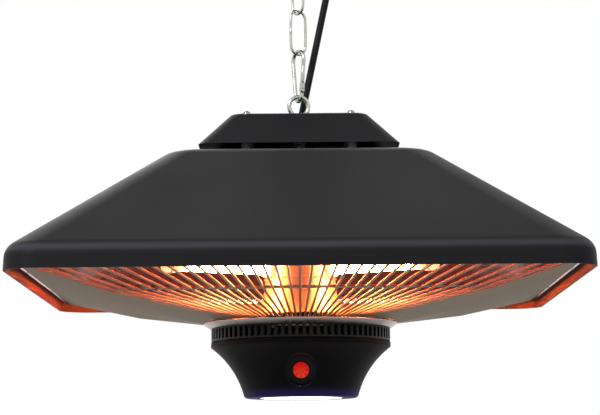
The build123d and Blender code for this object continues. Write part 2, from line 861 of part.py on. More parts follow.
# Control board: a round board resting in the taper of the cup, notched to clear the button.
control_board_radius = cup_reach(control_board_height, cup_wall) - touch_gap
notch_width = 2 * (recess_radius + notch_gap)
notch_depth = control_board_radius - floor_back + notch_gap
with BuildPart() as control_board:
    with BuildSketch(Plane.XY.offset(up(control_board_height))):
        Circle(control_board_radius)
        with Locations((0, -control_board_radius)):
            Rectangle(notch_width, 2 * notch_depth, mode=Mode.SUBTRACT)
    extrude(amount=board)
    with Locations((0, control_board_radius / 3, up(control_board_height + board))):
        Box(chip_side, chip_side, chip_height, align=(Align.CENTER, Align.CENTER, Align.MIN))
keep(control_board, "control_board")

# Light: a frosted lens let into the base from inside, with the lamp board on its rim.
lens_seat = cup_base + cup_wall
with BuildPart() as light_lens:
    with BuildSketch(Plane.XY.offset(up(cup_base))):
        Circle(light_radius - touch_gap)
    extrude(amount=cup_wall + lens_flange)
    with BuildSketch(Plane.XY.offset(up(lens_seat))):
        Circle(lens_flange_radius)
    extrude(amount=lens_flange)
    with BuildSketch(Plane.XY.offset(up(lens_seat + lens_flange))):
        Circle(lens_flange_radius)
        Circle(lens_flange_radius - lens_ring_wall, mode=Mode.SUBTRACT)
    extrude(amount=lens_ring_height - lens_flange)
keep(light_lens, "light_lens")

with BuildPart() as light_board:
    with BuildSketch(Plane.XY.offset(up(lens_seat + lens_ring_height))):
        Circle(lens_flange_radius)
    extrude(amount=board)
    with BuildSketch(Plane.XY.offset(up(lens_seat + lens_ring_height))):
        with PolarLocations(lens_flange_radius * led_circle_share, led_count):
            Rectangle(led_side, led_side)
    extrude(amount=-led_height)
keep(light_board, "light_board")

# Terminal block and thermal cut-out, fixed on top of the pan, inside the canopy.
with BuildPart() as terminal_block:
    with Locations((terminal_place, 0, up(pan_height))):
        Box(
            terminal_width,
            terminal_length,
            terminal_height,
            align=(Align.CENTER, Align.CENTER, Align.MIN),
        )
    with BuildSketch(Plane.XY.offset(up(pan_height + terminal_height))):
        with Locations((terminal_place, 0)):
            with GridLocations(0, terminal_length / terminal_ways, 1, terminal_ways):
                Circle(terminal_hole_radius)
    extrude(amount=-terminal_height / 2, mode=Mode.SUBTRACT)
keep(terminal_block, "terminal_block")

with BuildPart() as thermal_cutout:
    with BuildSketch(Plane.XY.offset(up(pan_height))):
        with Locations((-terminal_place, 0)):
            SlotOverall(cutout_tab_length, cutout_tab_width, rotation=90)
    extrude(amount=cutout_tab)
    with BuildSketch(Plane.XY.offset(up(pan_height))):
        with Locations((-terminal_place, 0)):
            Circle(cutout_radius)
    extrude(amount=cutout_height)
keep(thermal_cutout, "thermal_cutout")

# Eye bolt: a closed ring on a long threaded shank, which runs down through the cap and the canopy.
eye_plane = upright_plane(eye_turn, eye_height)
eye_neck = eye_height - eye_ring_radius
lower_nut_base = canopy_under - eye_washer - eye_lower_nut_height
with BuildPart() as eye_bolt:
    with BuildSketch(Plane.XY.offset(up(lower_nut_base - eye_shank_radius))):
        Circle(eye_shank_radius)
    extrude(amount=eye_neck - lower_nut_base + eye_shank_radius)
    with BuildLine(eye_plane) as eye_run:
        CenterArc((0, 0), eye_ring_radius, 90, 360)
    eye_path = eye_run.wires()[0]
    with BuildSketch(Plane(origin=eye_path @ 0, z_dir=eye_path % 0)):
        RegularPolygon(eye_wire_radius, bent_wire_sides)
    sweep(path=eye_path)
keep(eye_bolt, "eye_bolt")


def nut_and_washer(washer_base, nut_base, nut_height):
    """A washer and a hexagon nut on the shank of the eye bolt."""
    with BuildPart() as pair:
        with BuildSketch(Plane.XY.offset(up(washer_base))):
            Circle(eye_washer_radius)
            Circle(eye_shank_radius + touch_gap, mode=Mode.SUBTRACT)
        extrude(amount=eye_washer)
        with BuildSketch(Plane.XY.offset(up(nut_base))):
            RegularPolygon(eye_nut_flats / 2, 6, major_radius=False)
            Circle(eye_shank_radius + touch_gap, mode=Mode.SUBTRACT)
        extrude(amount=nut_height)
    return pair


eye_nut = nut_and_washer(cap_top, cap_top + eye_washer, eye_nut_height)
keep(eye_nut, "eye_nut")
eye_lower_nut = nut_and_washer(canopy_under - eye_washer, lower_nut_base, eye_lower_nut_height)
keep(eye_lower_nut, "eye_lower_nut")

with BuildPart() as centre_spacer:
    with BuildSketch(Plane.XY.offset(up(canopy_height))):
        Circle(eye_spacer_radius)
        Circle(eye_shank_radius + touch_gap, mode=Mode.SUBTRACT)
    extrude(amount=cap_under - canopy_height)
keep(centre_spacer, "centre_spacer")

# Snap hook: a pear of bent wire, wide at the top. Its side toward +X is closed by the gate.
hook_plane = upright_plane(hook_turn, hook_foot)


def flat_point(point):
    """A point of the snap hook's outline as plain numbers in the hook's own plane."""
    return (point.X, point.Y)


foot_centre = Vector(0, hook_foot_radius)
top_centre = Vector(0, hook_length - hook_top_radius)
side_lean = asin((hook_top_radius - hook_foot_radius) / (top_centre.Y - foot_centre.Y))
side_way = Vector(cos(side_lean), -sin(side_lean))
left_way = Vector(-cos(side_lean), -sin(side_lean))
side_foot = foot_centre + side_way * hook_foot_radius
side_head = top_centre + side_way * hook_top_radius
left_foot = foot_centre + left_way * hook_foot_radius
left_head = top_centre + left_way * hook_top_radius
gate_foot = side_foot + (side_head - side_foot) * gate_start_share
gate_head = side_foot + (side_head - side_foot) * gate_end_share
gate_way = (gate_head - gate_foot).normalized()
tongue_foot = gate_foot - gate_way * gate_tongue_radius

with BuildPart() as snap_hook:
    with BuildLine(hook_plane) as hook_run:
        Line(flat_point(tongue_foot), flat_point(side_foot))
        ThreePointArc(flat_point(side_foot), (0, 0), flat_point(left_foot))
        Line(flat_point(left_foot), flat_point(left_head))
        ThreePointArc(flat_point(left_head), (0, hook_length), flat_point(side_head))
        Line(flat_point(side_head), flat_point(gate_head))
    hook_path = hook_run.wires()[0]
    with BuildSketch(Plane(origin=hook_path @ 0, z_dir=hook_path % 0)):
        RegularPolygon(hook_wire_radius, bent_wire_sides)
    sweep(path=hook_path)
    with BuildSketch(hook_plane.offset(-gate_tongue / 2)):
        with Locations(flat_point(gate_foot)):
            Circle(gate_tongue_radius)
        with Locations(flat_point((gate_foot + tongue_foot) * 0.5)):
            Rectangle(2 * hook_wire_radius, gate_tongue_radius, rotation=-degrees(side_lean))
    extrude(amount=gate_tongue)
    with BuildSketch(hook_plane.offset(-hook_wire_radius)):
        with Locations(flat_point(gate_foot)):
            Circle(gate_pin_radius + touch_gap / 2)
    extrude(amount=2 * hook_wire_radius, mode=Mode.SUBTRACT)
keep(snap_hook, "snap_hook")

# Gate: a forked rod that turns on its pin between the cheeks of the fork.
gate_plane = Plane(
    origin=hook_plane.from_local_coords(Vector(gate_foot.X, gate_foot.Y, 0)),
    x_dir=hook_plane.x_dir * gate_way.Y - hook_plane.y_dir * gate_way.X,
    z_dir=hook_plane.x_dir * gate_way.X + hook_plane.y_dir * gate_way.Y,
)
gate_length = (gate_head - gate_foot).length - gate_end_gap
cheek_gap = gate_tongue / 2 + gate_cheek_gap
fork_reach = gate_fork_length + gate_tongue_radius
fork_middle = gate_foot + gate_way * ((gate_fork_length - gate_tongue_radius) / 2)
with BuildPart() as hook_gate:
    with BuildSketch(gate_plane):
        Circle(hook_wire_radius)
    extrude(amount=gate_length)
    with BuildSketch(hook_plane.offset(-hook_wire_radius)):
        with Locations(flat_point(gate_foot)):
            Circle(hook_wire_radius)
    extrude(amount=2 * hook_wire_radius)
    with BuildSketch(hook_plane.offset(-cheek_gap)):
        with Locations(flat_point(fork_middle)):
            Rectangle(4 * hook_wire_radius, fork_reach, rotation=-degrees(side_lean))
    extrude(amount=2 * cheek_gap, mode=Mode.SUBTRACT)
    with BuildSketch(hook_plane.offset(-hook_wire_radius)):
        with Locations(flat_point(gate_foot)):
            Circle(gate_pin_radius + touch_gap / 2)
    extrude(amount=2 * hook_wire_radius, mode=Mode.SUBTRACT)
keep(hook_gate, "hook_gate")

with BuildPart() as gate_pin:
    with BuildSketch(hook_plane.offset(-hook_wire_radius)):
        with Locations(flat_point(gate_foot)):
            Circle(gate_pin_radius)
    extrude(amount=2 * hook_wire_radius)
keep(gate_pin, "gate_pin")


def chain_link(turn, foot):
    """A long welded link: two straight legs and two half turns of round wire."""
    middle = upright_plane(turn, foot + link_pitch / 2)
    with BuildPart() as link:
        with BuildSketch(middle, mode=Mode.PRIVATE) as loop:
            SlotOverall(link_pitch, link_width - 2 * link_wire_radius, rotation=90)
        path = loop.sketch.faces()[0].outer_wire()
        with BuildSketch(Plane(origin=path @ 0, z_dir=path % 0)):
            RegularPolygon(link_wire_radius, bent_wire_sides)
        sweep(path=path)
    return link


chain_link_lower = chain_link(link_turn, lower_link_foot)
keep(chain_link_lower, "chain_link_lower")
chain_link_upper = chain_link(link_turn - 90, upper_link_foot)
keep(chain_link_upper, "chain_link_upper")

# Ceiling hook: an open hook of thick wire on a straight shank, with a nut against the plate.
ceiling_hook_plane = upright_plane(link_turn, ceiling_hook_height)
with BuildPart() as ceiling_hook:
    with BuildLine(ceiling_hook_plane) as ceiling_run:
        CenterArc((0, 0), ceiling_hook_radius, 90, -360 + ceiling_hook_gap_angle)
    ceiling_path = ceiling_run.edges()[0]
    with BuildSketch(Plane(origin=ceiling_path @ 0, z_dir=ceiling_path % 0)):
        RegularPolygon(ceiling_hook_wire_radius, bent_wire_sides)
    sweep(path=ceiling_path)
    with BuildSketch(Plane.XY.offset(up(shank_base))):
        Circle(ceiling_hook_wire_radius)
    extrude(amount=ceiling_shank - ceiling_plate / 2)
keep(ceiling_hook, "ceiling_hook")

with BuildPart() as ceiling_nut:
    with BuildSketch(Plane.XY.offset(up(ceiling_plate_under - ceiling_nut_height))):
        RegularPolygon(ceiling_nut_flats / 2, 6, major_radius=False)
        Circle(ceiling_hook_wire_radius + touch_gap / 2, mode=Mode.SUBTRACT)
    extrude(amount=ceiling_nut_height)
keep(ceiling_nut, "ceiling_nut")

# Supply cable: it stands taut, so it is one straight run from the cap's gland to the ceiling's gland.
gland_mouth = cable_foot + cable_run * gland_length
cable_rise = up(ceiling_plate_under) - cable_foot.Z
ceiling_entry = cable_foot + cable_run * (cable_rise / cable_run.Z)
ceiling_mouth = ceiling_entry - cable_run * ceiling_gland_length
cable_length = (ceiling_mouth - gland_mouth).length
print("free cable length", round(cable_length, 1))
with BuildPart() as power_cable:
    with BuildSketch(Plane(origin=gland_mouth, z_dir=cable_run)):
        Circle(cable_radius)
    extrude(amount=cable_length)
keep(power_cable, "power_cable")

# Ceiling plate: a flat disc with three screw holes, a blind hole for the hook and one for the cable.
cable_hole = ceiling_entry + cable_run * (ceiling_plate / 2 / cable_run.Z)
with BuildPart() as ceiling_disc:
    with BuildSketch(Plane.XY.offset(-ceiling_plate)):
        Circle(ceiling_plate_radius)
    extrude(amount=ceiling_plate)
    fillet(ceiling_disc.edges().group_by(Axis.Z)[0], ceiling_plate_bend)
    with BuildSketch(Plane.XY):
        with PolarLocations(ceiling_screw_circle, ceiling_screw_count, ceiling_screw_first_angle):
            Circle(ceiling_screw_radius)
        with Locations((cable_hole.X, cable_hole.Y)):
            Circle(gland_mouth_radius)
    extrude(amount=-ceiling_plate, mode=Mode.SUBTRACT)
    with BuildSketch(Plane.XY.offset(-ceiling_plate)):
        Circle(ceiling_hook_wire_radius + touch_gap / 2)
    extrude(amount=ceiling_plate / 2, mode=Mode.SUBTRACT)
keep(ceiling_disc, "ceiling_plate")


def gland_cone(entry, way, length):
    """A tapered rubber gland round the cable's axis, wide where it meets the sheet."""
    with BuildPart() as gland:
        with BuildSketch(Plane(origin=entry - way * gland_foot_radius, z_dir=way)):
            Circle(gland_foot_radius)
        with BuildSketch(Plane(origin=entry + way * length, z_dir=way)):
            Circle(gland_mouth_radius)
        loft()
        split(bisect_by=Plane(origin=entry, z_dir=Vector(0, 0, way.Z / abs(way.Z))), keep=Keep.TOP)
    return gland


cap_gland = gland_cone(cable_foot, cable_run, gland_length)
keep(cap_gland, "cap_gland")
ceiling_gland = gland_cone(ceiling_entry, cable_run * -1, ceiling_gland_length)
keep(ceiling_gland, "ceiling_gland")

print("heights", round(eye_height, 2), round(hook_foot, 2), round(hook_head, 2), round(lower_link_foot, 2))
print("heights", round(upper_link_foot, 2), round(upper_link_head, 2), round(ceiling_hook_foot, 2))
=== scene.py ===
from math import asin, atan2, cos, pi, radians, sin, sqrt, tan

import bmesh
import bpy
import numpy as np
from mathutils import Matrix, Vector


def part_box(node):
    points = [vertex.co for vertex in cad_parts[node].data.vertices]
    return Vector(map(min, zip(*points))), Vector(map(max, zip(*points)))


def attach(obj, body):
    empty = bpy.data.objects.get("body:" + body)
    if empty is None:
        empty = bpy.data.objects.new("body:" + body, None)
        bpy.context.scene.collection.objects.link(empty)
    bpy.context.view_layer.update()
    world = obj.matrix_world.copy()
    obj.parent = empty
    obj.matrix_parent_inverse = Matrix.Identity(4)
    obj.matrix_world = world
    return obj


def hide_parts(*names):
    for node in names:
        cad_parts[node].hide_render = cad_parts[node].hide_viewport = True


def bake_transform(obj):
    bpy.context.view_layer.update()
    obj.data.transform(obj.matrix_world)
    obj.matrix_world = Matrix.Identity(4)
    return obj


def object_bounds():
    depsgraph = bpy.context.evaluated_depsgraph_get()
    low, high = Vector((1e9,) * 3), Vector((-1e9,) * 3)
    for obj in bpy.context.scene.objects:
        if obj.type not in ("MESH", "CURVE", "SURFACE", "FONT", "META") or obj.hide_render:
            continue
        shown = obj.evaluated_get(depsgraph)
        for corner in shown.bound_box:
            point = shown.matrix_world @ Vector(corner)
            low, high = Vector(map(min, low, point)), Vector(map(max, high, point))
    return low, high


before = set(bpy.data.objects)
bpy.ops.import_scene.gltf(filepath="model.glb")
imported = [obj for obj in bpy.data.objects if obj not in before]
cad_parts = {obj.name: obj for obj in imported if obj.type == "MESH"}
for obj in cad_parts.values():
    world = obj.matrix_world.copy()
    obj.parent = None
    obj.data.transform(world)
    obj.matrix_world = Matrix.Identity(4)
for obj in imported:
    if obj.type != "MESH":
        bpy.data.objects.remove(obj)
cad_box = [list(corner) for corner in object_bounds()]

# Sizes below are in millimetres, and heights are counted from the hood's lower rim.
mm = 0.001
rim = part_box("canopy")[0].z
up = np.array([0, 0, 1])
scene = bpy.context.scene
scene.view_settings.view_transform = "Standard"


def add_object(name, data):
    made = bpy.data.objects.new(name, data)
    scene.collection.objects.link(made)
    return made


def unit(vectors):
    return vectors / np.linalg.norm(vectors, axis=-1, keepdims=True)


def node(tree, kind, *values, named=(), **settings):
    """A shader node with some properties set. values go to its inputs in order and named ones by name: a socket
    is linked, and a plain value is set."""
    made = tree.nodes.new("ShaderNode" + kind)
    for name, value in settings.items():
        setattr(made, name, value)
    for key, value in (*enumerate(values), *named):
        if isinstance(value, bpy.types.NodeSocket):
            tree.links.new(value, made.inputs[key])
        else:
            made.inputs[key].default_value = value
    return made


def maths(tree, operation, *values):
    return node(tree, "Math", *values, operation=operation).outputs[0]


def ramp(tree, value, low, high, first=0.0, last=1.0, kind="SMOOTHERSTEP"):
    """Runs from first to last while the value runs from low to high."""
    return node(tree, "MapRange", value, low, high, first, last, interpolation_type=kind).outputs["Result"]


def mix(tree, factor, a, b, kind="RGBA"):
    return node(tree, "Mix", named=(("Factor", factor), ("A", a), ("B", b)), data_type=kind).outputs["Result"]


def position(tree):
    """The X, Y and Z of Object coordinates."""
    return node(tree, "SeparateXYZ", node(tree, "TexCoord").outputs["Object"]).outputs


def drive(tree, name, socket):
    """Links a socket to an input of the tree's shader."""
    tree.links.new(socket, tree.nodes["Principled BSDF"].inputs[name])


# Camera: the heater was photographed from the front with a long lens, from a little below its rim and
# looking slightly up, with the picture leaning half a degree.
photo_width = 600
focal_pixels = 2247.3
camera_back = 1785.7
camera_drop = 151.0
camera_aside = 0.3
camera_tilt = 0.1214
camera_lean = 0.0086
camera_data = bpy.data.cameras.new("camera")
camera_data.lens = focal_pixels / photo_width * camera_data.sensor_width
camera_data.clip_end = 50
scene.camera = add_object("camera", camera_data)
scene.camera.location = (camera_aside * mm, -camera_back * mm, rim - camera_drop * mm)
level_view = Matrix.Rotation(pi / 2 + camera_tilt, 3, "X")
scene.camera.rotation_euler = (level_view @ Matrix.Rotation(-camera_lean, 3, "Z")).to_euler()

# Studio: a white room over a floor two metres down, as high as such a heater hangs. Seen straight, and in
# metal and glass, the room is white. It sheds more light from above than from below, and three broad soft
# lamps give the forms their shade.
shed_from_above = 0.42
shed_from_below = 0.06
shed_blend = 0.25
floor_half = 4.0
floor_drop = 2.0
floor_shade = (0.16, 0.16, 0.16, 1)
floor_white = (0.9, 0.9, 0.9, 1)


def seen_rays(tree):
    """1 for rays that show the room, straight or in metal and glass, and 0 for those that carry its light."""
    rays = node(tree, "LightPath").outputs
    seen = maths(tree, "MAXIMUM", rays["Is Camera Ray"], rays["Is Glossy Ray"])
    return maths(tree, "MAXIMUM", seen, rays["Is Transmission Ray"])


world = bpy.data.worlds.new("white_room")
world.use_nodes = True
scene.world = world
room = world.node_tree
backdrop = room.nodes["Background"]
backdrop.inputs["Color"].default_value = (1, 1, 1, 1)
skyward = node(room, "SeparateXYZ", node(room, "TexCoord").outputs["Generated"]).outputs["Z"]
shed = ramp(room, skyward, -shed_blend, shed_blend, shed_from_below, shed_from_above, "LINEAR")
room.links.new(mix(room, seen_rays(room), shed, 1.0, "FLOAT"), backdrop.inputs["Strength"])
floor_mesh = bpy.data.meshes.new("floor")
floor_corners = np.array([(-1, -1, 0), (1, -1, 0), (1, 1, 0), (-1, 1, 0)]) * floor_half
floor_mesh.from_pydata((floor_corners + (0, 0, cad_box[0][2] - floor_drop)).tolist(), [], [(0, 1, 2, 3)])
floor_paint = bpy.data.materials.new("floor_paint")
floor_paint.use_nodes = True
paint = floor_paint.node_tree
drive(paint, "Base Color", mix(paint, seen_rays(paint), floor_shade, floor_white))
paint.nodes["Principled BSDF"].inputs["Roughness"].default_value = 0.8
floor_mesh.materials.append(floor_paint)
floor = add_object("floor", floor_mesh)


def studio_lamp(name, place, size, power):
    """A square soft lamp at a place, in metres from the rim's middle, that faces the middle of the heater."""
    data = bpy.data.lights.new(name, "AREA")
    data.shape, data.size, data.energy = "SQUARE", size, power
    lamp = add_object(name, data)
    away = unit(np.array(place))
    side = unit(np.cross(up, away))
    lamp.rotation_euler = Matrix(np.array([side, np.cross(away, side), away]).T.tolist()).to_euler()
    lamp.location = np.array(place) + (0, 0, rim)


studio_lamp("front_left_lamp", (-1.2, -1.8, 1.5), 0.7, 46)
studio_lamp("right_lamp", (1.9, -1.2, 1.0), 1.2, 2)
studio_lamp("back_lamp", (-0.3, 2.0, 1.4), 1.5, 18)


def surface_noise():
    """Broad and fine noise on Object coordinates, which every finish takes its uneven tone and relief from."""
    group = bpy.data.node_groups.new("surface_noise", "ShaderNodeTree")
    for way, names in (("INPUT", ("Broad Scale", "Fine Scale")), ("OUTPUT", ("Tone", "Relief"))):
        for name in names:
            group.interface.new_socket(name, in_out=way, socket_type="NodeSocketFloat")
    scales = group.nodes.new("NodeGroupInput").outputs
    results = group.nodes.new("NodeGroupOutput").inputs
    place = node(group, "TexCoord").outputs["Object"]
    for scale, detail, result in (("Broad Scale", 4.0, "Tone"), ("Fine Scale", 3.0, "Relief")):
        noise = node(group, "TexNoise", named=(("Vector", place), ("Scale", scales[scale]), ("Detail", detail)))
        group.links.new(noise.outputs["Fac"], results[result])
    return group


noise_group = surface_noise()


def finish(name, colour, roughness, metallic=0.0, tone=0.12, rough_spread=0.06, broad=30.0, fine=900.0,
           relief=0.01, specular=0.5, glow=None, glow_strength=0.0):
    """A finish whose colour and roughness wander a little with the broad noise, and whose surface is bumped by
    the fine noise. relief is the height of those bumps in millimetres."""
    material = bpy.data.materials.new(name)
    material.use_nodes = True
    tree = material.node_tree
    noise = tree.nodes.new("ShaderNodeGroup")
    noise.node_tree = noise_group
    noise.inputs["Broad Scale"].default_value = broad
    noise.inputs["Fine Scale"].default_value = fine
    wander = noise.outputs["Tone"]
    dark = [part * (1 - tone) for part in colour] + [1]
    light = [min(1, part * (1 + tone)) for part in colour] + [1]
    drive(tree, "Base Color", mix(tree, wander, dark, light))
    smooth, rough = max(0.02, roughness - rough_spread), roughness + rough_spread
    drive(tree, "Roughness", ramp(tree, wander, 0.3, 0.7, smooth, rough, "LINEAR"))
    bump = node(tree, "Bump", named=(("Distance", relief * mm), ("Height", noise.outputs["Relief"])))
    drive(tree, "Normal", bump.outputs["Normal"])
    shader = tree.nodes["Principled BSDF"]
    shader.inputs["Metallic"].default_value = metallic
    shader.inputs["Specular IOR Level"].default_value = specular
    if glow:
        shader.inputs["Emission Color"].default_value = (*glow, 1)
        shader.inputs["Emission Strength"].default_value = glow_strength
    return material


def skin(name, grids, loop=False, crease=38):
    """A piece made of grids of points, each rows by columns by x, y, height. Neighbouring points are joined by
    quads, the last column to the first, and with loop the last row to the first. Rows that shrink to a point
    close an end. A grid that encloses less than nothing is turned over, so faces point outwards."""
    points, faces, count = [], [], 0
    for grid in grids:
        rows, columns = grid.shape[:2]
        row = np.arange(rows if loop else rows - 1)[:, None]
        column = np.arange(columns)[None]
        quads = np.stack([
            row * columns + column,
            row * columns + (column + 1) % columns,
            (row + 1) % rows * columns + (column + 1) % columns,
            (row + 1) % rows * columns + column,
        ], -1).reshape(-1, 4)
        flat = grid.reshape(-1, 3)
        a, b, c, d = (flat[quads[:, corner]] - flat.mean(0) for corner in range(4))
        if np.sum(np.cross(c - a, d - b) * a) < 0:
            quads = quads[:, ::-1]
        points.append(flat)
        faces.append(quads + count)
        count += len(flat)
    mesh = bpy.data.meshes.new(name)
    places = np.concatenate(points) * mm + (0, 0, rim)
    mesh.from_pydata(places.tolist(), [], np.concatenate(faces).tolist())
    work = bmesh.new()
    work.from_mesh(mesh)
    bmesh.ops.remove_doubles(work, verts=work.verts, dist=1e-7)
    work.to_mesh(mesh)
    work.free()
    mesh.shade_smooth()
    mesh.set_sharp_from_angle(angle=radians(crease))
    return add_object(name, mesh)


def settle(piece, body, slot, material, *nodes):
    """Gives a piece its finish, carries it on its body and lets it stand for the plain solids of those names."""
    piece.data.materials.append(material)
    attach(piece, body)
    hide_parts(*nodes)


def build(name, grids, body, slot, material, *nodes, loop=False, crease=38):
    settle(skin(name, grids, loop, crease), body, slot, material, *nodes)


def round_angles(count):
    return np.linspace(0, 2 * pi, count, endpoint=False)


def capped(rings, first, last):
    """Rings with both ends closed in a point."""
    ends = [np.broadcast_to(end, (1, *rings.shape[1:])) for end in (first, last)]
    return np.concatenate([ends[0], rings, ends[1]])


def wire(path, radius, square, sides=12, loop=False):
    """A round wire along a path that lies in one plane, with square as that plane's normal. At each point a circle
    is drawn by the normal and by the direction square to it and to the path. Open ends close in a point."""
    path = np.asarray(path, float)
    ahead = np.roll(path, -1, 0) - np.roll(path, 1, 0)
    if not loop:
        ahead[0], ahead[-1] = path[1] - path[0], path[-1] - path[-2]
    side = unit(np.cross(ahead, square))
    angle = round_angles(sides)[:, None]
    reach = np.broadcast_to(radius, len(path))[:, None, None]
    rings = path[:, None] + reach * (np.cos(angle) * side[:, None] + np.sin(angle) * square)
    return np.concatenate([rings, rings[:1]]) if loop else capped(rings, path[0], path[-1])


def bent_line(corners, bends, steps=10):
    """A line through corners, each rounded by an arc of its own radius that touches the runs before and after it.
    The arc turns evenly from one touching point to the other. A bend of 0 leaves the corner as it is."""
    corners = np.asarray(corners, float)
    line = [corners[0]]
    for before, corner, after, bend in zip(corners, corners[1:], corners[2:], bends):
        back, ahead = unit(before - corner), unit(after - corner)
        half = np.arccos(np.clip(back @ ahead, -1, 1)) / 2
        if not bend or half > pi / 2 - 1e-3:
            line.append(corner)
            continue
        middle = corner + unit(back + ahead) * bend / sin(half)
        first = corner + back * bend / tan(half) - middle
        last = corner + ahead * bend / tan(half) - middle
        sweep = pi - 2 * half
        part = np.linspace(0, 1, steps + 1)[:, None]
        line.extend(middle + (np.sin((1 - part) * sweep) * first + np.sin(part * sweep) * last) / sin(sweep))
    line.append(corners[-1])
    return np.array(line)


def moved_in(line, thickness):
    """The same profile one sheet further in: each point moves square to the mean of its two neighbouring runs."""
    run = unit(np.diff(line, axis=0))
    square = np.column_stack([-run[:, 1], run[:, 0]])
    first = np.vstack([square[:1], square])
    second = np.vstack([square, square[-1:]])
    mean = (first + second) / (1 + np.sum(first * second, axis=1))[:, None]
    return line + mean * thickness


def arc(middle, radius, first, last, steps):
    """Points on an arc from one angle to another."""
    angle = np.linspace(first, last, steps)
    return np.column_stack([middle[0] + radius * np.cos(angle), middle[1] + radius * np.sin(angle)])


def three_point_arc(first, middle, last, steps):
    """The arc through three points, found from the circle that all three lie on."""
    (ax, ay), (bx, by), (cx, cy) = first, middle, last
    span = 2 * (ax * (by - cy) + bx * (cy - ay) + cx * (ay - by))
    ux = ((ax**2 + ay**2) * (by - cy) + (bx**2 + by**2) * (cy - ay) + (cx**2 + cy**2) * (ay - by)) / span
    uy = ((ax**2 + ay**2) * (cx - bx) + (bx**2 + by**2) * (ax - cx) + (cx**2 + cy**2) * (bx - ax)) / span
    start, end = atan2(ay - uy, ax - ux), atan2(cy - uy, cx - ux)
    turn = (end - start + pi) % (2 * pi) - pi
    return arc((ux, uy), sqrt((ax - ux) ** 2 + (ay - uy) ** 2), start, start + turn, steps)


def square_rows(profile, corners):
    """Rounded squares, one for each half width and height of a profile: four quarter circles joined by straight
    sides, as the rows of a grid."""
    angle = np.linspace(0, pi / 2, 11)
    profile = np.asarray(profile, float)
    half, height = profile[:, 0, None], profile[:, 1, None]
    corner = np.minimum(np.broadcast_to(corners, len(profile))[:, None], half)
    x = half - corner + corner * np.cos(angle)
    y = half - corner + corner * np.sin(angle)
    quarters = [(x, y), (-y, x), (-x, -y), (y, -x)]
    return np.concatenate([np.stack([a, b, np.broadcast_to(height, x.shape)], -1) for a, b in quarters], axis=1)


def turned(profile, sides=64):
    """A profile of radius and height turned round the heater's axis, as the rows of a grid."""
    profile = np.asarray(profile, float)
    angle = round_angles(sides)
    radius, height = profile[:, :1], np.broadcast_to(profile[:, 1:], (len(profile), sides))
    return np.stack([radius * np.cos(angle), radius * np.sin(angle), height], -1)


def drill(radius, low, high, sides=32):
    """A closed cylinder about the heater's axis, between two heights."""
    return turned([(0, low), (radius, low), (radius, high), (0, high)], sides)


def at(places, *grids):
    """A copy of each grid at each place in a level plane."""
    return [grid + np.array([x, y, 0]) for x, y in places for grid in grids]


def round_places(circle, count, first=0.0):
    angles = [first + 2 * pi * index / count for index in range(count)]
    return [(circle * cos(angle), circle * sin(angle)) for angle in angles]


def upright(turn):
    """The level direction at a turn, and the direction square to the upright plane through it."""
    return np.array([cos(turn), sin(turn), 0]), np.array([sin(turn), -cos(turn), 0])


def in_plane(points, way):
    """Points across and up in an upright plane, whose level direction is way."""
    points = np.asarray(points, float)
    return points[..., :1] * way + points[..., 1:2] * up


def even_shade(piece):
    """Lets the large flat faces rule the shading at soft bends, as on a folded sheet."""
    shade = piece.modifiers.new("even_shade", "WEIGHTED_NORMAL")
    shade.keep_sharp = True
    shade.weight = 100


def cut(piece, tools):
    """Cuts closed grids out of a piece, keeps the result as its mesh and clears the cutting shape away."""
    tool = skin("tool", tools)
    knife = piece.modifiers.new("knife", "BOOLEAN")
    knife.operation = "DIFFERENCE"
    knife.solver = "EXACT"
    knife.object = tool
    made = bpy.data.meshes.new_from_object(piece.evaluated_get(bpy.context.evaluated_depsgraph_get()))
    piece.modifiers.clear()
    piece.data = made
    bpy.data.objects.remove(tool)


def second_finish(piece, material, chosen):
    """Gives some faces of a piece a finish of their own. chosen takes the faces' middles, as millimetres with the
    height counted from the rim, and their normals, and says which."""
    piece.data.materials.append(material)
    count = len(piece.data.polygons)
    middles, normals = np.zeros(count * 3), np.zeros(count * 3)
    piece.data.polygons.foreach_get("center", middles)
    piece.data.polygons.foreach_get("normal", normals)
    places = (middles.reshape(-1, 3) - (0, 0, rim)) / mm
    piece.data.polygons.foreach_set("material_index", chosen(places, normals.reshape(-1, 3)).astype(int))


def dress(material, *nodes):
    """Gives solids that keep their own shape a finish of the heater's."""
    for name in nodes:
        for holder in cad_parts[name].material_slots:
            holder.material = material


# Supply cable: smooth black rubber flex, pulled straight from the gland on the cap to the one on the ceiling.
# It is one line in four stretches.
cap_top = 135.0
cable_width = 5.6
cable_lean = radians(12.1)
cable_way = np.array([sin(cable_lean), 0, cos(cable_lean)])
cable_entry = np.array([0.5, 14.0, cap_top])
gland_length = 8.0
ceiling_under = 291.0
ceiling_gland_length = 6.0
ceiling_entry = cable_entry + cable_way * (ceiling_under - cap_top) / cable_way[2]
cable_foot = cable_entry + cable_way * gland_length
cable_head = ceiling_entry - cable_way * ceiling_gland_length
run_in = cable_way * 6 * cable_width
cable_points = [cable_foot, cable_foot + run_in, cable_head - run_in, cable_head]
cable_breaks = [177.0, 211.2, 244.7]
cable_spans = 48
black_rubber = finish("black_rubber", (0.008, 0.0085, 0.008), 0.45, tone=0.2, fine=1500, relief=0.006, specular=0.12)
route_data = bpy.data.curves.new("cable_route", "CURVE")
route_data.dimensions = "3D"
spline = route_data.splines.new("NURBS")
spline.points.add(len(cable_points) - 1)
spline.points.foreach_set("co", np.column_stack([cable_points, np.ones(len(cable_points))]).ravel())
spline.order_u = 3
spline.use_endpoint_u = True
spline.resolution_u = cable_spans
route = bpy.data.objects.new("cable_route", route_data)
cable_line = np.array([tuple(vertex.co) for vertex in bpy.data.meshes.new_from_object(route).vertices])
bpy.data.objects.remove(route)
splits = [0, *[int(np.abs(cable_line[:, 2] - height).argmin()) for height in cable_breaks], len(cable_line) - 1]
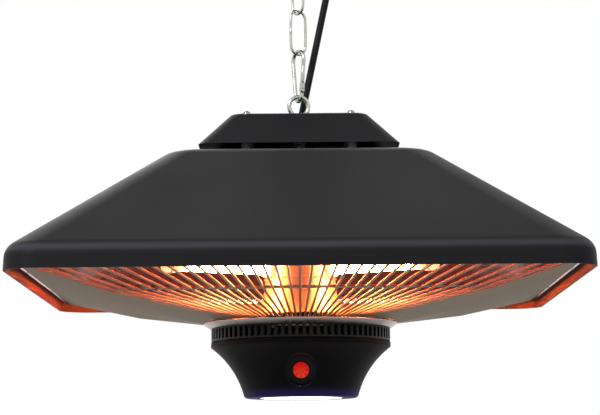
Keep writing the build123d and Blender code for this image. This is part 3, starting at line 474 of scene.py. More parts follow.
for index, (first, last) in enumerate(zip(splits, splits[1:])):
    stretch_line = cable_line[first:last + 1]
    flex = skin(f"cable_stretch_{index + 1}", [wire(stretch_line, cable_width / 2, (0, 1, 0), 24)])
    flex.data.materials.append(black_rubber)
    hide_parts("power_cable")
    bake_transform(flex)

# Canopy: one sheet of steel folded to a square hood, with a short skirt, soft bends and welded corners, under a
# matt charcoal powder coat, with a lighter band painted along the lower bend as a highlight. Holes in its top
# let the hot air out.
sheet = 1.2
canopy_half = 212.5
skirt_half = 211.6
skirt_height = 16.5
canopy_top_half = 98.0
canopy_height = 101.0
canopy_bends = [15.0, 20.0]
canopy_corner = 26.0
canopy_top_corner = 20.0
canopy_under = canopy_height - sheet
eye_hole = 3.1
tie_hole = 2.2
vent_hole = 7.0
vent_hole_circle = 33.0
vent_holes = 8
tie_offset = 41.0
tie_places = [(x, y) for x in (-tie_offset, tie_offset) for y in (-tie_offset, tie_offset)]
# Height and reach of the painted highlight band along the lower bend.
highlight_band_height = 15.5
highlight_band_reach = 4.5


def hood(name, line, inner, low, corner, top_corner, high):
    """A square hood of one sheet between two profiles. The radius of its corners runs from corner at the low
    height to top_corner at the high one."""
    profile = np.vstack([line[::-1], inner])
    corners = corner + (top_corner - corner) * np.clip((profile[:, 1] - low) / (high - low), 0, 1)
    corners[len(line):] -= sheet
    return skin(name, [square_rows(profile, corners)])


hood_line = bent_line([(canopy_half, 0), (skirt_half, skirt_height), (canopy_top_half, canopy_height),
                       (0, canopy_height)], canopy_bends)
hood_inner = moved_in(hood_line, sheet)
hood_inner[0, 1] = 0
canopy = hood("canopy_hood", hood_line, hood_inner, skirt_height, canopy_corner, canopy_top_corner, canopy_height)
low, high = canopy_height - 3 * sheet, canopy_height + 3 * sheet
cut(canopy, [drill(eye_hole, low, high), *at(tie_places, drill(tie_hole, low, high)),
             *at(round_places(vent_hole_circle, vent_holes), drill(vent_hole, low, high))])
even_shade(canopy)
charcoal_coat = finish("charcoal_coat", (0.0132, 0.0132, 0.0146), 0.5, tone=0.1, broad=9, fine=1400, relief=0.012,
                       specular=0.08)
# A lighter band painted along the lower bend of the coat: a painted highlight.
highlight_band_nodes = charcoal_coat.node_tree
from_bend = maths(highlight_band_nodes, "ABSOLUTE", maths(highlight_band_nodes, "SUBTRACT", position(highlight_band_nodes)["Z"], rim + highlight_band_height * mm))
new_coat = highlight_band_nodes.nodes["Principled BSDF"].inputs["Base Color"].links[0].from_socket
drive(highlight_band_nodes, "Base Color", mix(highlight_band_nodes, ramp(highlight_band_nodes, from_bend, highlight_band_reach * mm, 0), new_coat, (0.045, 0.044, 0.052, 1)))
settle(canopy, "heater", "charcoal_coat", charcoal_coat, "canopy")


def inside_of_hood(places, normals):
    """Faces that look towards the axis or down, above the cut edge of the rim."""
    inward = np.sum(places[:, :2] * normals[:, :2], axis=1) < -1
    return (inward | (normals[:, 2] < -0.3)) & (places[:, 2] > 0.2)


# The inside's dark red stands for the lamps' orange light falling on it: painted lamp glow.
inside_painted_glow = finish("inside_with_painted_lamp_glow", (0.25, 0.085, 0.045), 0.55, broad=25, fine=500, relief=0.02, specular=0.1)
second_finish(canopy, inside_painted_glow, inside_of_hood)

# Vent cap: a smaller folded hood in the same steel and coat, which keeps rain out of the holes below it. It
# stands on four posts, and the hot air leaves through the gap all round.
cap_half = 77.8
cap_top_half = 52.6
cap_base = 108.0
cap_bend = 5.0
cap_corner = 9.0
cap_top_corner = 8.0
gland_hole = 4.0
cap_line = bent_line([(cap_half, cap_base), (cap_top_half, cap_top), (0, cap_top)], [cap_bend])
cap_inner = moved_in(cap_line, sheet)
foot, next_up = cap_inner[0], cap_inner[1]
cap_inner[0] = next_up + (foot - next_up) * (next_up[1] - cap_base) / (next_up[1] - foot[1])
cap = hood("vent_cap_hood", cap_line, cap_inner, cap_base, cap_corner, cap_top_corner, cap_top)
low, high = cap_top - 3 * sheet, cap_top + 3 * sheet
cut(cap, [drill(eye_hole, low, high), *at(tie_places, drill(tie_hole, low, high)),
          *at([cable_entry[:2]], drill(gland_hole, low, high))])
even_shade(cap)
settle(cap, "heater", "charcoal_coat", charcoal_coat, "vent_cap")

# Posts and spacers: turned aluminium tubes on the tie screws. Four lift the cap off the canopy, four hold the
# pan below it, and one more round the eye bolt keeps the cap from being pulled down.
pan_height = 53.0
post_radius = 4.5
centre_post_radius = 5.0
zinc = finish("zinc_plate", (0.42, 0.43, 0.42), 0.28, metallic=1.0, tone=0.14, broad=120, fine=1800, relief=0.006)


def tube(bore, radius, low, high, edge=0.4):
    """A tube with its four edges broken by a small bevel: a closed profile to turn as a loop."""
    return turned([
        (bore, low + edge), (bore + edge, low), (radius - edge, low), (radius, low + edge),
        (radius, high - edge), (radius - edge, high), (bore + edge, high), (bore, high - edge),
    ], 32)


for name, grids, solid in (
    ("cap_post_set", at(tie_places, tube(tie_hole, post_radius, canopy_height, cap_top - sheet)), "cap_posts"),
    ("pan_spacer_set", at(tie_places, tube(tie_hole, post_radius, pan_height, canopy_under)), "pan_spacers"),
    ("centre_post", [tube(eye_hole, centre_post_radius, canopy_height, cap_top - sheet)], "centre_spacer"),
):
    build(name, grids, "heater", "zinc", zinc, solid, loop=True)

# Tie screws: four long plated screws that clamp cap, canopy and pan together. Each ends on the cap in a bright
# domed nut with a washer face, and under the pan in a plain hexagon nut.
pan_under = 52.2
tie_radius = 2.0
tie_thread = 0.7
tie_nut_flats = 7.0
tie_nut_height = 3.2
tie_nut_base = pan_under - tie_nut_height
dome_radius = 3.05
dome_foot = 3.6
dome_hexagon = 1.2
dome_height = 3.9
bright_steel = finish("bright_steel", (0.26, 0.27, 0.245), 0.2, metallic=1.0, tone=0.1, broad=150, fine=2200,
                      relief=0.0015)


def threaded(radius, pitch, low, high):
    """A screw's thread as a stack of rings: the radius runs to and fro between crest and root once a pitch."""
    count = int((high - low) / pitch * 2)
    reach = radius - 0.3 * pitch * (np.arange(count + 1) % 2)
    profile = np.column_stack([reach, np.linspace(low, high, count + 1)])
    return turned(np.vstack([(0, low), profile, (0, high)]), 20)


def hexagon_nut(flats, low, high, bore):
    """A hexagon nut with chamfered corners at both ends, as a closed profile turned in six sides. The inside is
    a six-sided bore, hidden on the thread."""
    corner = flats / 2 / cos(pi / 6)
    edge = corner * 0.06
    return turned([(bore, low), (corner - edge, low), (corner, low + edge), (corner, high - edge),
                   (corner - edge, high), (bore, high)], 6)


quarter = np.linspace(0, pi / 2, 9)
dome = np.vstack([
    [(0, cap_top), (dome_foot, cap_top), (dome_foot, cap_top + 0.35), (dome_radius + 0.1, cap_top + 0.45)],
    np.column_stack([dome_radius * np.cos(quarter),
                     cap_top + dome_hexagon + (dome_height - dome_hexagon) * np.sin(quarter)]),
])
tie_screw = threaded(tie_radius, tie_thread, tie_nut_base - tie_radius, cap_top)
build("tie_screw_set", at(tie_places, tie_screw, turned(dome, 32)), "heater", "bright_steel", bright_steel,
      "tie_screws", crease=30)
tie_nut = hexagon_nut(tie_nut_flats, tie_nut_base, pan_under, tie_radius)
build("tie_nut_set", at(tie_places, tie_nut), "heater", "screw_steel", zinc, "tie_nuts", loop=True, crease=20)

# Glands: moulded black rubber cones, pressed over the flex where it enters the cap and the ceiling plate. Each
# has three soft ribs that let it bend, and its foot is cut flat to the sheet it stands on.
gland_foot_radius = 6.2
gland_mouth_radius = 4.0
gland_bore = cable_width / 2 - 0.05
gland_ribs = 3
gland_rib_depth = 0.35
gland_lip = 0.5


def gland_cone(entry, way, length):
    """Circles square to the way, tapering from foot to mouth with a wave for the ribs. The first ring is slid
    along the way until it lies in the plane of the sheet."""
    part = np.linspace(0, 1, 25)
    radius = gland_foot_radius + (gland_mouth_radius - gland_foot_radius) * part
    radius = radius - gland_rib_depth * (0.5 - 0.5 * np.cos(2 * pi * gland_ribs * part)) * (part > 0)
    side = unit(np.cross(way, (0, 1, 0)))
    angle = round_angles(40)[:, None]
    circle = np.cos(angle) * side + np.sin(angle) * np.cross(way, side)
    rings = entry + part[:, None, None] * length * way + radius[:, None, None] * circle
    rings[0] += way * ((entry[2] - rings[0][:, 2]) / way[2])[:, None]
    under = (rings[1:, :, 2] - entry[2]) * np.sign(way[2])
    rings[1:, :, 2] = np.where(under < 0, entry[2], rings[1:, :, 2])
    middle, mouth = entry + length / 2 * way, entry + length * way
    inside = [mouth + (gland_mouth_radius - gland_lip) * circle, mouth + gland_bore * circle,
              middle + gland_bore * circle]
    return capped(np.concatenate([rings, inside]), entry, middle)


moulded_rubber = finish("moulded_rubber", (0.018, 0.018, 0.018), 0.55, tone=0.15, fine=1200, relief=0.012)
build("cap_gland_cone", [gland_cone(cable_entry, cable_way, gland_length)], "heater", "cable_rubber",
      moulded_rubber, "cap_gland")
build("ceiling_gland_cone", [gland_cone(ceiling_entry, -cable_way, ceiling_gland_length)], "ceiling_mount",
      "cable_rubber", moulded_rubber, "ceiling_gland")

# Eye bolt: a forged ring on a threaded shank, zinc plated, screwed through the cap and the canopy and locked by a
# washer and nut above and below.
eye_wire = 1.7
eye_ring = 8.0
eye_shank = 3.0
eye_thread = 1.0
eye_nut_flats = 10.0
eye_nut_height = 2.5
eye_lower_nut_height = 5.0
washer_radius = 8.0
washer_height = 1.2
neck_base = cap_top + washer_height + eye_nut_height
eye_height = neck_base + eye_wire + eye_ring + 0.1
lower_washer_base = canopy_under - washer_height
lower_nut_base = lower_washer_base - eye_lower_nut_height
chain_zinc = finish("chain_zinc", (0.45, 0.47, 0.43), 0.24, metallic=1.0, tone=0.16, rough_spread=0.1, broad=170,
                    fine=2600, relief=0.002)
eye_way, eye_square = upright(radians(15))
eye_path = in_plane(arc((0, eye_height), eye_ring, 0, 2 * pi, 73)[:-1], eye_way)
neck = np.array([
    (0, -1), (eye_shank - 0.2, -1), (eye_shank, 0), (eye_shank, 0.4), (eye_shank - 0.5, 1.1), (eye_shank - 1.1, 2.2),
    (0, 2.6),
]) + (0, neck_base)
build("eye_bolt_forging", [
    wire(eye_path, eye_wire, eye_square, 24, loop=True), turned(neck, 32),
    threaded(eye_shank, eye_thread, lower_nut_base - eye_shank, neck_base - 1),
], "heater", "zinc", chain_zinc, "eye_bolt", crease=50)


def washer(low, edge=0.15):
    high, radius = low + washer_height, washer_radius
    return turned([(eye_hole, low), (radius - edge, low), (radius, low + edge), (radius, high - edge),
                   (radius - edge, high), (eye_hole, high)], 48)


build("eye_nut_and_washer", [
    washer(cap_top), hexagon_nut(eye_nut_flats, cap_top + washer_height, neck_base, eye_shank),
], "heater", "bright_steel", bright_steel, "eye_nut", loop=True, crease=20)
build("eye_lower_nut_and_washer", [
    washer(lower_washer_base), hexagon_nut(eye_nut_flats, lower_nut_base, lower_washer_base, eye_shank),
], "heater", "screw_steel", zinc, "eye_lower_nut", loop=True, crease=20)

# Snap hook: a pear of bent zinc-plated wire. One leg is a sprung gate, a rod with a forked foot that turns on a
# rivet through the wire's flattened end, and its tip rests inside the head of the hook.
ring_gap = 0.3
hook_wire = 1.6
hook_length = 41.2
head_radius = 8.4
foot_radius = 4.6
tongue_half = 0.7
tongue_radius = 2.1
cheek_gap = 0.12
fork_length = 6.0
gate_edge = 0.3
gate_end_gap = 0.35
leg_before_gate = 0.15
leg_to_gate_end = 0.88
rivet_radius = 0.6
hook_foot = eye_height + eye_ring - eye_wire - ring_gap - hook_wire
hook_way, hook_square = upright(radians(-60))


def in_hook(points, out=0.0):
    """Points of the hook's own plane, across and up from its foot, set out square to it."""
    return in_plane(points, hook_way) + hook_foot * up + out * hook_square


hook_lean = asin((head_radius - foot_radius) / (hook_length - head_radius - foot_radius))
foot_middle = np.array([0, foot_radius])
head_middle = np.array([0, hook_length - head_radius])
gate_side = np.array([cos(hook_lean), -sin(hook_lean)])
side_foot = foot_middle + gate_side * foot_radius
side_run = head_middle + gate_side * head_radius - side_foot
gate_foot = side_foot + side_run * leg_before_gate
gate_head = side_foot + side_run * leg_to_gate_end
gate_way = unit(gate_head - gate_foot)
across_gate = np.array([gate_way[1], -gate_way[0]])
tongue_foot = gate_foot - gate_way * tongue_radius
hook_line = np.vstack([
    tongue_foot, arc(foot_middle, foot_radius, -hook_lean, -pi + hook_lean, 25),
    arc(head_middle, head_radius, pi + hook_lean, -hook_lean, 41), gate_head - gate_way * 0.25, gate_head,
])
hook_reach = np.full(len(hook_line), hook_wire)
hook_reach[-1] = hook_wire - gate_edge


def plate(outline, thickness, out=0.0):
    """A flat piece in the hook's plane: its outline swept square to the plane, with both faces closed to their
    middle and the edges a little rounded."""
    middle = outline.mean(0)
    edge, half = 0.12, thickness / 2
    inner = middle + (outline - middle) * (1 - edge / np.linalg.norm(outline - middle, axis=1)[:, None])
    centre = 0 * outline + middle
    rows = [(centre, -half), (inner, -half), (outline, edge - half), (outline, half - edge), (inner, half),
            (centre, half)]
    return np.stack([in_hook(points, out + depth) for points, depth in rows])


def round_gate(radius, first, last):
    """A half circle of 17 points about the gate's rivet. 0 is across the gate, and pi / 2 is along it."""
    turn = np.linspace(first, last, 17)[:, None]
    return gate_foot + radius * (np.cos(turn) * across_gate + np.sin(turn) * gate_way)


tongue = np.vstack([round_gate(tongue_radius, 0, pi), tongue_foot - across_gate * hook_wire,
                    tongue_foot - gate_way, tongue_foot + across_gate * hook_wire])
build("snap_hook_wire", [wire(in_hook(hook_line), hook_reach, hook_square, 24), plate(tongue, 2 * tongue_half)],
      "hook", "zinc", chain_zinc, "snap_hook", crease=45)
gate_length = np.linalg.norm(gate_head - gate_foot) - gate_end_gap
gate_steps = [fork_length, fork_length + 0.3, gate_length - gate_edge, gate_length]
gate_rod = wire(in_hook([gate_foot + gate_way * step for step in gate_steps]),
                [hook_wire - 0.2, hook_wire, hook_wire, hook_wire - gate_edge], hook_square, 24)
cheek_depth = hook_wire - tongue_half - cheek_gap
cheek_head = gate_foot + gate_way * (fork_length + 0.6)
cheek_side = across_gate * hook_wire * 0.92
cheek = np.vstack([round_gate(hook_wire, pi, 2 * pi), cheek_head + cheek_side, cheek_head - cheek_side])
cheek_out = hook_wire - cheek_depth / 2
build("hook_gate_rod", [gate_rod, *[plate(cheek, cheek_depth, out) for out in (cheek_out, -cheek_out)]],
      "gate", "zinc", chain_zinc, "hook_gate", crease=45)
rivet_circle = np.column_stack([np.cos(round_angles(24)), np.sin(round_angles(24))])
rivet_rows = [(0, -hook_wire), (rivet_radius - 0.15, -hook_wire), (rivet_radius, -hook_wire + 0.15),
              (rivet_radius, hook_wire - 0.15), (rivet_radius - 0.15, hook_wire), (0, hook_wire)]
build("gate_rivet", [np.stack([in_hook(gate_foot + reach * rivet_circle, out) for reach, out in rivet_rows])],
      "hook", "screw_steel", bright_steel, "gate_pin")

# Chain: long welded links of plated round wire. Each link's weld is a slight swelling in the middle of one leg,
# and the legs bow out a little between the bends.
link_wire = 1.1
link_length = 38.0
link_width = 16.4
link_turn = radians(36)
link_pitch = link_length - 2 * link_wire
link_bow = 0.25
link_weld = 0.22
link_weld_length = 1.6


def chain_link(turn, foot):
    """A slot-shaped loop: two legs and two half turns. The legs bow out by a half sine wave, and the wire swells
    at the weld by a bell curve."""
    way, square = upright(turn)
    bend = link_width / 2 - link_wire
    leg = link_pitch / 2 - bend
    up_leg = np.linspace(-leg, leg, 33)
    right = np.column_stack([bend + link_bow * np.cos(up_leg / leg * pi / 2), up_leg])
    line = np.vstack([right, arc((0, leg), bend, 0, pi, 29)[1:-1], -right, arc((0, -leg), bend, pi, 2 * pi, 29)[1:-1]])
    on_weld = (line[:, 0] < 0) & (np.abs(line[:, 1]) < leg)
    radius = link_wire + link_weld * np.exp(-(line[:, 1] / link_weld_length) ** 2) * on_weld
    return wire(in_plane(line, way) + (foot + link_pitch / 2) * up, radius, square, 20, loop=True)


lower_link_foot = hook_foot + hook_length - hook_wire - ring_gap - link_wire
upper_link_foot = lower_link_foot + link_pitch - 2 * link_wire - ring_gap
build("lower_chain_link", [chain_link(link_turn, lower_link_foot)], "lower_link", "zinc", chain_zinc,
      "chain_link_lower")
build("upper_chain_link", [chain_link(link_turn - pi / 2, upper_link_foot)], "upper_link", "zinc", chain_zinc,
      "chain_link_upper")

# Ceiling fitting: a thick hook bent from round bar, screwed into a painted steel disc and locked by a nut. The
# disc is screwed to the ceiling, and the flex goes through it.
bar = 2.0
bar_hook_radius = 9.0
bar_gap = radians(45)
ceiling_nut_flats = 10.0
ceiling_nut_height = 5.0
bar_hook_height = upper_link_foot + link_pitch - link_wire - ring_gap - bar + bar_hook_radius
bar_shank_base = bar_hook_height + bar_hook_radius
disc_radius = 52.0
disc_thickness = 4.0
disc_bend = 1.5
disc_screw_circle = 38.0
disc_screw_hole = 2.6
disc_top = ceiling_under + disc_thickness
disc_middle = ceiling_under + disc_thickness / 2
bar_way, bar_square = upright(link_turn)
bar_line = arc((0, bar_hook_height), bar_hook_radius, pi / 2, bar_gap - 3 * pi / 2, 61)
bar_reach = np.append(np.full(len(bar_line) - 3, bar), [0.97 * bar, 0.85 * bar, 0.6 * bar])
build("ceiling_hook_bar", [
    wire(in_plane(bar_line, bar_way), bar_reach, bar_square, 24),
    turned([(0, bar_shank_base - 1), (bar, bar_shank_base), (bar, disc_middle - 0.1), (0, disc_middle - 0.1)], 24),
], "ceiling_mount", "zinc", chain_zinc, "ceiling_hook", crease=50)
build("ceiling_lock_nut", [hexagon_nut(ceiling_nut_flats, ceiling_under - ceiling_nut_height, ceiling_under, bar)],
      "ceiling_mount", "zinc", zinc, "ceiling_nut", loop=True, crease=20)
disc_line = bent_line([(0, ceiling_under), (disc_radius, ceiling_under), (disc_radius, disc_top), (0, disc_top)],
                      [disc_bend, 0], 8)
disc = skin("ceiling_disc", [turned(disc_line, 96)])
disc_entry = ceiling_entry + cable_way * ((disc_middle - ceiling_under) / cable_way[2])
low, high = ceiling_under - 1, disc_top + 1
cut(disc, [*at(round_places(disc_screw_circle, 3, pi / 2), drill(disc_screw_hole, low, high)),
           *at([disc_entry[:2]], drill(gland_mouth_radius, low, high))])
even_shade(disc)
settle(disc, "ceiling_mount", "charcoal_coat", charcoal_coat, "ceiling_plate")

# Reflector pan: a pressed tray of thin bright aluminium, hung upside down in the canopy. It has a flat flange
# with a short lip round its edge, and its face is slightly wavy from the press.
pan_sheet = 0.8
pan_half = 206.0
pan_flange_half = 197.0
pan_lip_base = 6.4
pan_lip_top = 11.5
pan_flange_top = 12.5
pan_top_half = 120.0
pan_bends = [1.4, 2.5, 6.0]
pan_corner = 24.0
pan_flange_corner = 18.0
pan_top_corner = 16.0
column_radius = 28.2
column_wall = 0.8
column_bore = column_radius - column_wall
pan_line = bent_line([
    (pan_half, pan_lip_base), (pan_half, pan_lip_top), (pan_flange_half, pan_flange_top), (pan_top_half, pan_height),
    (column_bore, pan_height),
], pan_bends, 6)
pan_inner = moved_in(pan_line, pan_sheet)
pan_inner[0, 1] = pan_lip_base
pan_inner[-1, 0] = column_bore
pan_profile = np.vstack([pan_line, pan_inner[::-1]])
pan_corners = np.interp(pan_profile[:, 1], [pan_lip_base, pan_lip_top, pan_flange_top, pan_under, pan_height],
                        [pan_corner, pan_corner, pan_flange_corner, pan_top_corner, pan_top_corner])
pan_corners = np.where(pan_profile[:, 0] <= column_bore + 0.01, column_bore, pan_corners)
pan_corners[len(pan_line):-1] -= pan_sheet
pan = skin("reflector_tray", [square_rows(pan_profile, pan_corners)], loop=True, crease=32)
even_shade(pan)
# The pan's deep red stands for the lamps' orange light on its bright aluminium: painted lamp glow.
pan_painted_glow = finish("pan_with_painted_lamp_glow", (0.25, 0.03, 0.011), 0.26, metallic=1.0, tone=0.1, rough_spread=0.05,
                    broad=28, fine=50, relief=0.05)
settle(pan, "heater", "bright_steel", pan_painted_glow, "reflector_pan")
pan_edge = finish("bright_pan_edge", (0.92, 0.9, 0.88), 0.12, metallic=1.0, tone=0.06, broad=60)
second_finish(pan, pan_edge, lambda places, normals: (
    (places[:, 2] < pan_flange_top + 0.2) & (np.abs(places[:, :2]).max(1) > pan_half - 2.5)))

# Column: a polished steel tube hung from the pan by its flange, and below it a second one that flares out to
# its foot on the housing. The joint between them is rolled over to a bead.
step = 8.5
flange = 1.2
flange_radius = 38.0
flange_under = pan_under - flange
bead = 1.0
housing_top = -22.0
housing_plate = 2.0
plate_under = housing_top - housing_plate
flare_top = step - 0.1
flare_curve_top = flare_top - 6.0
flare_middle = (flare_curve_top + housing_top) / 2
flare_mid_radius = 31.6
flare_foot = 41.0
flare_rim = 50.0
# The column's warm yellow tint stands for the lamps' light on the steel: painted lamp glow.
polished_steel_painted_glow = finish("polished_steel_painted_glow", (0.66, 0.5, 0.35), 0.52, metallic=1.0, tone=0.04, rough_spread=0.03,
                        broad=40, relief=0.004)
tube_line = bent_line([
    (column_bore, pan_under), (flange_radius, pan_under), (flange_radius, flange_under), (column_radius, flange_under),
    (column_radius, step + bead), (column_radius + bead, step + bead / 2), (column_radius + bead, step),
    (column_bore, step),
], [0, 0.4, 0.8, 0.2, 0.4, 0.3], 4)
flare_outer, flare_inner = [three_point_arc(
    (column_radius - wall, flare_curve_top), (flare_mid_radius - wall, flare_middle),
    (flare_foot - wall, housing_top + column_wall - wall), 33) for wall in (0, column_wall)]
flare_line = np.vstack([
    (column_radius - 0.2, flare_top), (column_radius, flare_top - 0.2), flare_outer,
    (flare_rim, housing_top + column_wall), (flare_rim, housing_top), flare_inner[::-1], (column_bore, flare_top),
])
build("column_upper_tube", [turned(tube_line, 128)], "heater", "bright_steel", polished_steel_painted_glow, "column_tube",
      loop=True, crease=40)
build("column_flare_skirt", [turned(flare_line, 128)], "heater", "bright_steel", polished_steel_painted_glow, "column_flare",
      loop=True, crease=40)

# Screws of the column: pan-head screws, four up through the flange, three down through the foot into the housing
# plate.
screw_head = 3.6
screw_head_height = 2.4
screw_shank = 2.0
column_screw_circle = 33.0
foot_screw_circle = 45.5
screw_steel = finish("screw_steel", (0.55, 0.55, 0.55), 0.3, metallic=1.0, broad=200, fine=2400, relief=0.004)


def pan_screw(seat, tail, over):
    """A screw with a domed head. over is +1 where the head stands above its seat and -1 where it hangs below."""
    part = np.linspace(0, pi / 2, 7)
    level = seat + over * (0.9 + (screw_head_height - 0.9) * np.sin(part))
    head = np.column_stack([screw_head * np.cos(part) ** 0.6, level])
    rows = [(0, tail), (screw_shank, tail), (screw_shank, seat), (screw_head, seat), head, (0, head[-1, 1])]
    return turned(np.vstack(rows), 24)


upper_screw = pan_screw(flange_under, pan_height + screw_head_height, -1)
foot_screw = pan_screw(housing_top + column_wall, plate_under - screw_head_height, 1)
build("column_screw_set", at(round_places(column_screw_circle, 4), upper_screw), "heater", "screw_steel", screw_steel,
      "column_screws")
build("foot_screw_set", at(round_places(foot_screw_circle, 3), foot_screw), "heater", "screw_steel", screw_steel,
      "foot_screws")

# Halogen lamps: three quartz tubes like the spokes of a wheel, with a tungsten coil along the middle. They run
# so hot that the glass itself looks yellow-white, and their light is orange.
lamps = 3
lamp_height = 17.0
lamp_radius = 5.5
lamp_start = 31.2
lamp_end = 111.2
lamp_power = 230
cool_end = 12.0
coil_radius = 1.2
coil_wire = 0.3
coil_turns = 32
coil_tail = 4.0


def lamp_set(*grids):
    """Grids built up the heater's axis, laid along each lamp: their height becomes the distance from the axis."""
    ways = [upright(pi / 2 + 2 * pi * index / lamps) for index in range(lamps)]
    return [grid[..., 2:] * way - grid[..., :1] * square + (grid[..., 1:2] + lamp_height) * up
            for way, square in ways for grid in grids]


lamp_glow = finish("glowing_quartz", (1.0, 0.75, 0.45), 0.15, tone=0.05, relief=0.002, glow=(1.0, 0.24, 0.065),
                   glow_strength=lamp_power)
heat = lamp_glow.node_tree
place = position(heat)
reach = node(heat, "VectorMath", node(heat, "CombineXYZ", place["X"], place["Y"]).outputs[0], operation="LENGTH")
drive(heat, "Emission Strength", ramp(heat, reach.outputs["Value"], (lamp_end + 0.5) * mm, (lamp_end - cool_end) * mm,
                                      0.8, lamp_power))
coil_glow = finish("glowing_coil", (1.0, 0.6, 0.3), 0.4, tone=0.05, relief=0.002, glow=(1.0, 0.4, 0.15),
                   glow_strength=60)
glass_line = bent_line([(0, lamp_start), (lamp_radius, lamp_start), (lamp_radius, lamp_end), (0, lamp_end)],
                       [1.0, 1.0], 5)
build("lamp_tube_set", lamp_set(turned(glass_line, 40)), "heater", "lamp_glass", lamp_glow, "lamp_tubes")


def coil():
    """A helix up the heater's axis. At each point a small circle is drawn by the outward direction and by the
    direction square to it and to the helix. The ends run straight out along the middle."""
    turn = np.linspace(0, 2 * pi * coil_turns, coil_turns * 14 + 1)
    rise = (lamp_end - lamp_start - 2 * coil_tail) / (2 * pi * coil_turns)
    out = np.column_stack([np.cos(turn), np.sin(turn), 0 * turn])
    ahead = unit(np.column_stack([-coil_radius * np.sin(turn), coil_radius * np.cos(turn), 0 * turn + rise]))
    middle = (coil_radius - coil_wire) * out + (lamp_start + coil_tail + rise * turn)[:, None] * up
    angle = round_angles(6)[:, None]
    circle = np.cos(angle) * out[:, None] + np.sin(angle) * np.cross(ahead, out)[:, None]
    return capped(middle[:, None] + coil_wire * circle, middle[0], middle[-1])


lead = coil_tail + 0.5
lead_in = turned([(0, lamp_start), (coil_wire, lamp_start), (coil_wire, lamp_start + lead), (0, lamp_start + lead)], 8)
lead_out = lead_in + (lamp_end - lamp_start - lead) * up
build("lamp_coil_set", lamp_set(coil(), lead_in, lead_out), "heater", "lamp_glow", coil_glow, "lamp_filaments")

# Sockets and caps: white steatite, with a faint orange glow painted into it as lamp light. The sockets are square
# plates set against the column, and the caps are short cylinders with a groove, which the brackets hold.
socket_half = 7.0
socket_corner = 1.75
socket_foot = column_radius + 0.1
end_radius = 7.0
end_length = 10.0
groove = 0.5
# The steatite's orange glow is painted lamp light.
ceramic = finish("steatite", (0.72, 0.7, 0.66), 0.5, tone=0.06, broad=60, fine=1500, specular=0.4,
                 glow=(1.0, 0.45, 0.2), glow_strength=1.8)
socket = square_rows([(socket_half, socket_foot), (socket_half, lamp_start - 0.8), (socket_half - 0.8, lamp_start),
                      (0, lamp_start)], socket_corner)
socket[0, :, 2] = np.sqrt(socket_foot**2 - socket[0, :, 0] ** 2)
socket_back = np.zeros_like(socket[:1]) + socket_foot * up
build("lamp_socket_set", lamp_set(np.concatenate([socket_back, socket])), "heater", "ceramic", ceramic,
      "lamp_sockets", crease=30)
end_rows = [(end_radius, 0), (0.6, 0), (0, 0.6), (0, 3.0), (groove, 3.0 + groove), (groove, 3.8), (0, 3.8 + groove),
            (0, end_length - 0.8), (0.8, end_length), (end_radius, end_length)]
end_line = [(end_radius - inset, lamp_end + height) for inset, height in end_rows]
build("lamp_cap_set", lamp_set(turned(end_line, 40)), "heater", "ceramic", ceramic, "lamp_caps", crease=30)

# Wire guard: 136 steel wires like the ribs of an umbrella. Each runs straight from the outer frame to the middle
# ring, bends there and runs on to the collar, and is spot-welded under both rings. All of it is nickel plated.
wires = 136
wire_radius = 1.0
wire_slope = 0.32
weld_gap = 0.05
frame_wire = 1.5
frame_half = 202.6
frame_height = 9.1
frame_corner = 20.6
middle_wire = 1.2
middle_half = 139.0
middle_height = -8.7
middle_corner = 25.0
wire_overhang = -0.3
wire_bend = 6.0
wire_end_overhang = 1.6
vent_radius = 71.0
vent_neck_radius = 70.0
vent_shoulder = -30.4
collar_sheet = 0.9
collar_height = 3.5
collar_radius = 77.0
collar_top = vent_shoulder + collar_sheet + collar_height
collar_seat = collar_radius - collar_sheet
lean_factor = sqrt(1 + wire_slope**2)
wire_knee = middle_height - (middle_wire + wire_radius + weld_gap) * lean_factor
wire_rim = frame_height - (frame_wire + wire_radius + weld_gap) * lean_factor
wire_foot = collar_top + (wire_radius + weld_gap) * lean_factor


def square_reach(angle, half, corner):
    """How far a ray at an angle goes to a rounded square: to its flat side, or to the circle of its corner."""
    folded = abs((angle + pi / 4) % (pi / 2) - pi / 4)
    along, across = cos(folded), sin(folded)
    middle = half - corner
    if half * across / along <= middle:
        return half / along
    lean = middle * (along + across)
    return lean + sqrt(lean**2 - 2 * middle**2 + corner**2)


def guard_wire(angle):
    """One wire in its own upright plane: two runs with a small bend at the middle ring."""
    rim_reach = square_reach(angle, frame_half, frame_corner)
    knee_reach = square_reach(angle, middle_half, middle_corner)
    outer_slope = (wire_rim - wire_knee) / (rim_reach - knee_reach)
    inner_slope = (wire_knee - wire_foot) / (knee_reach - collar_seat)
    line = bent_line([
        (rim_reach + wire_overhang, wire_rim + wire_overhang * outer_slope), (knee_reach, wire_knee),
        (collar_seat - wire_end_overhang, wire_foot - wire_end_overhang * inner_slope),
    ], [wire_bend], 4)
    way, square = upright(angle)
    return wire(in_plane(line, way), wire_radius, square, 10)


def square_ring(half, corner, height, radius):
    """A closed ring of round wire bent to a rounded square."""
    return wire(square_rows([(half, height)], corner)[0], radius, up, 14, loop=True)


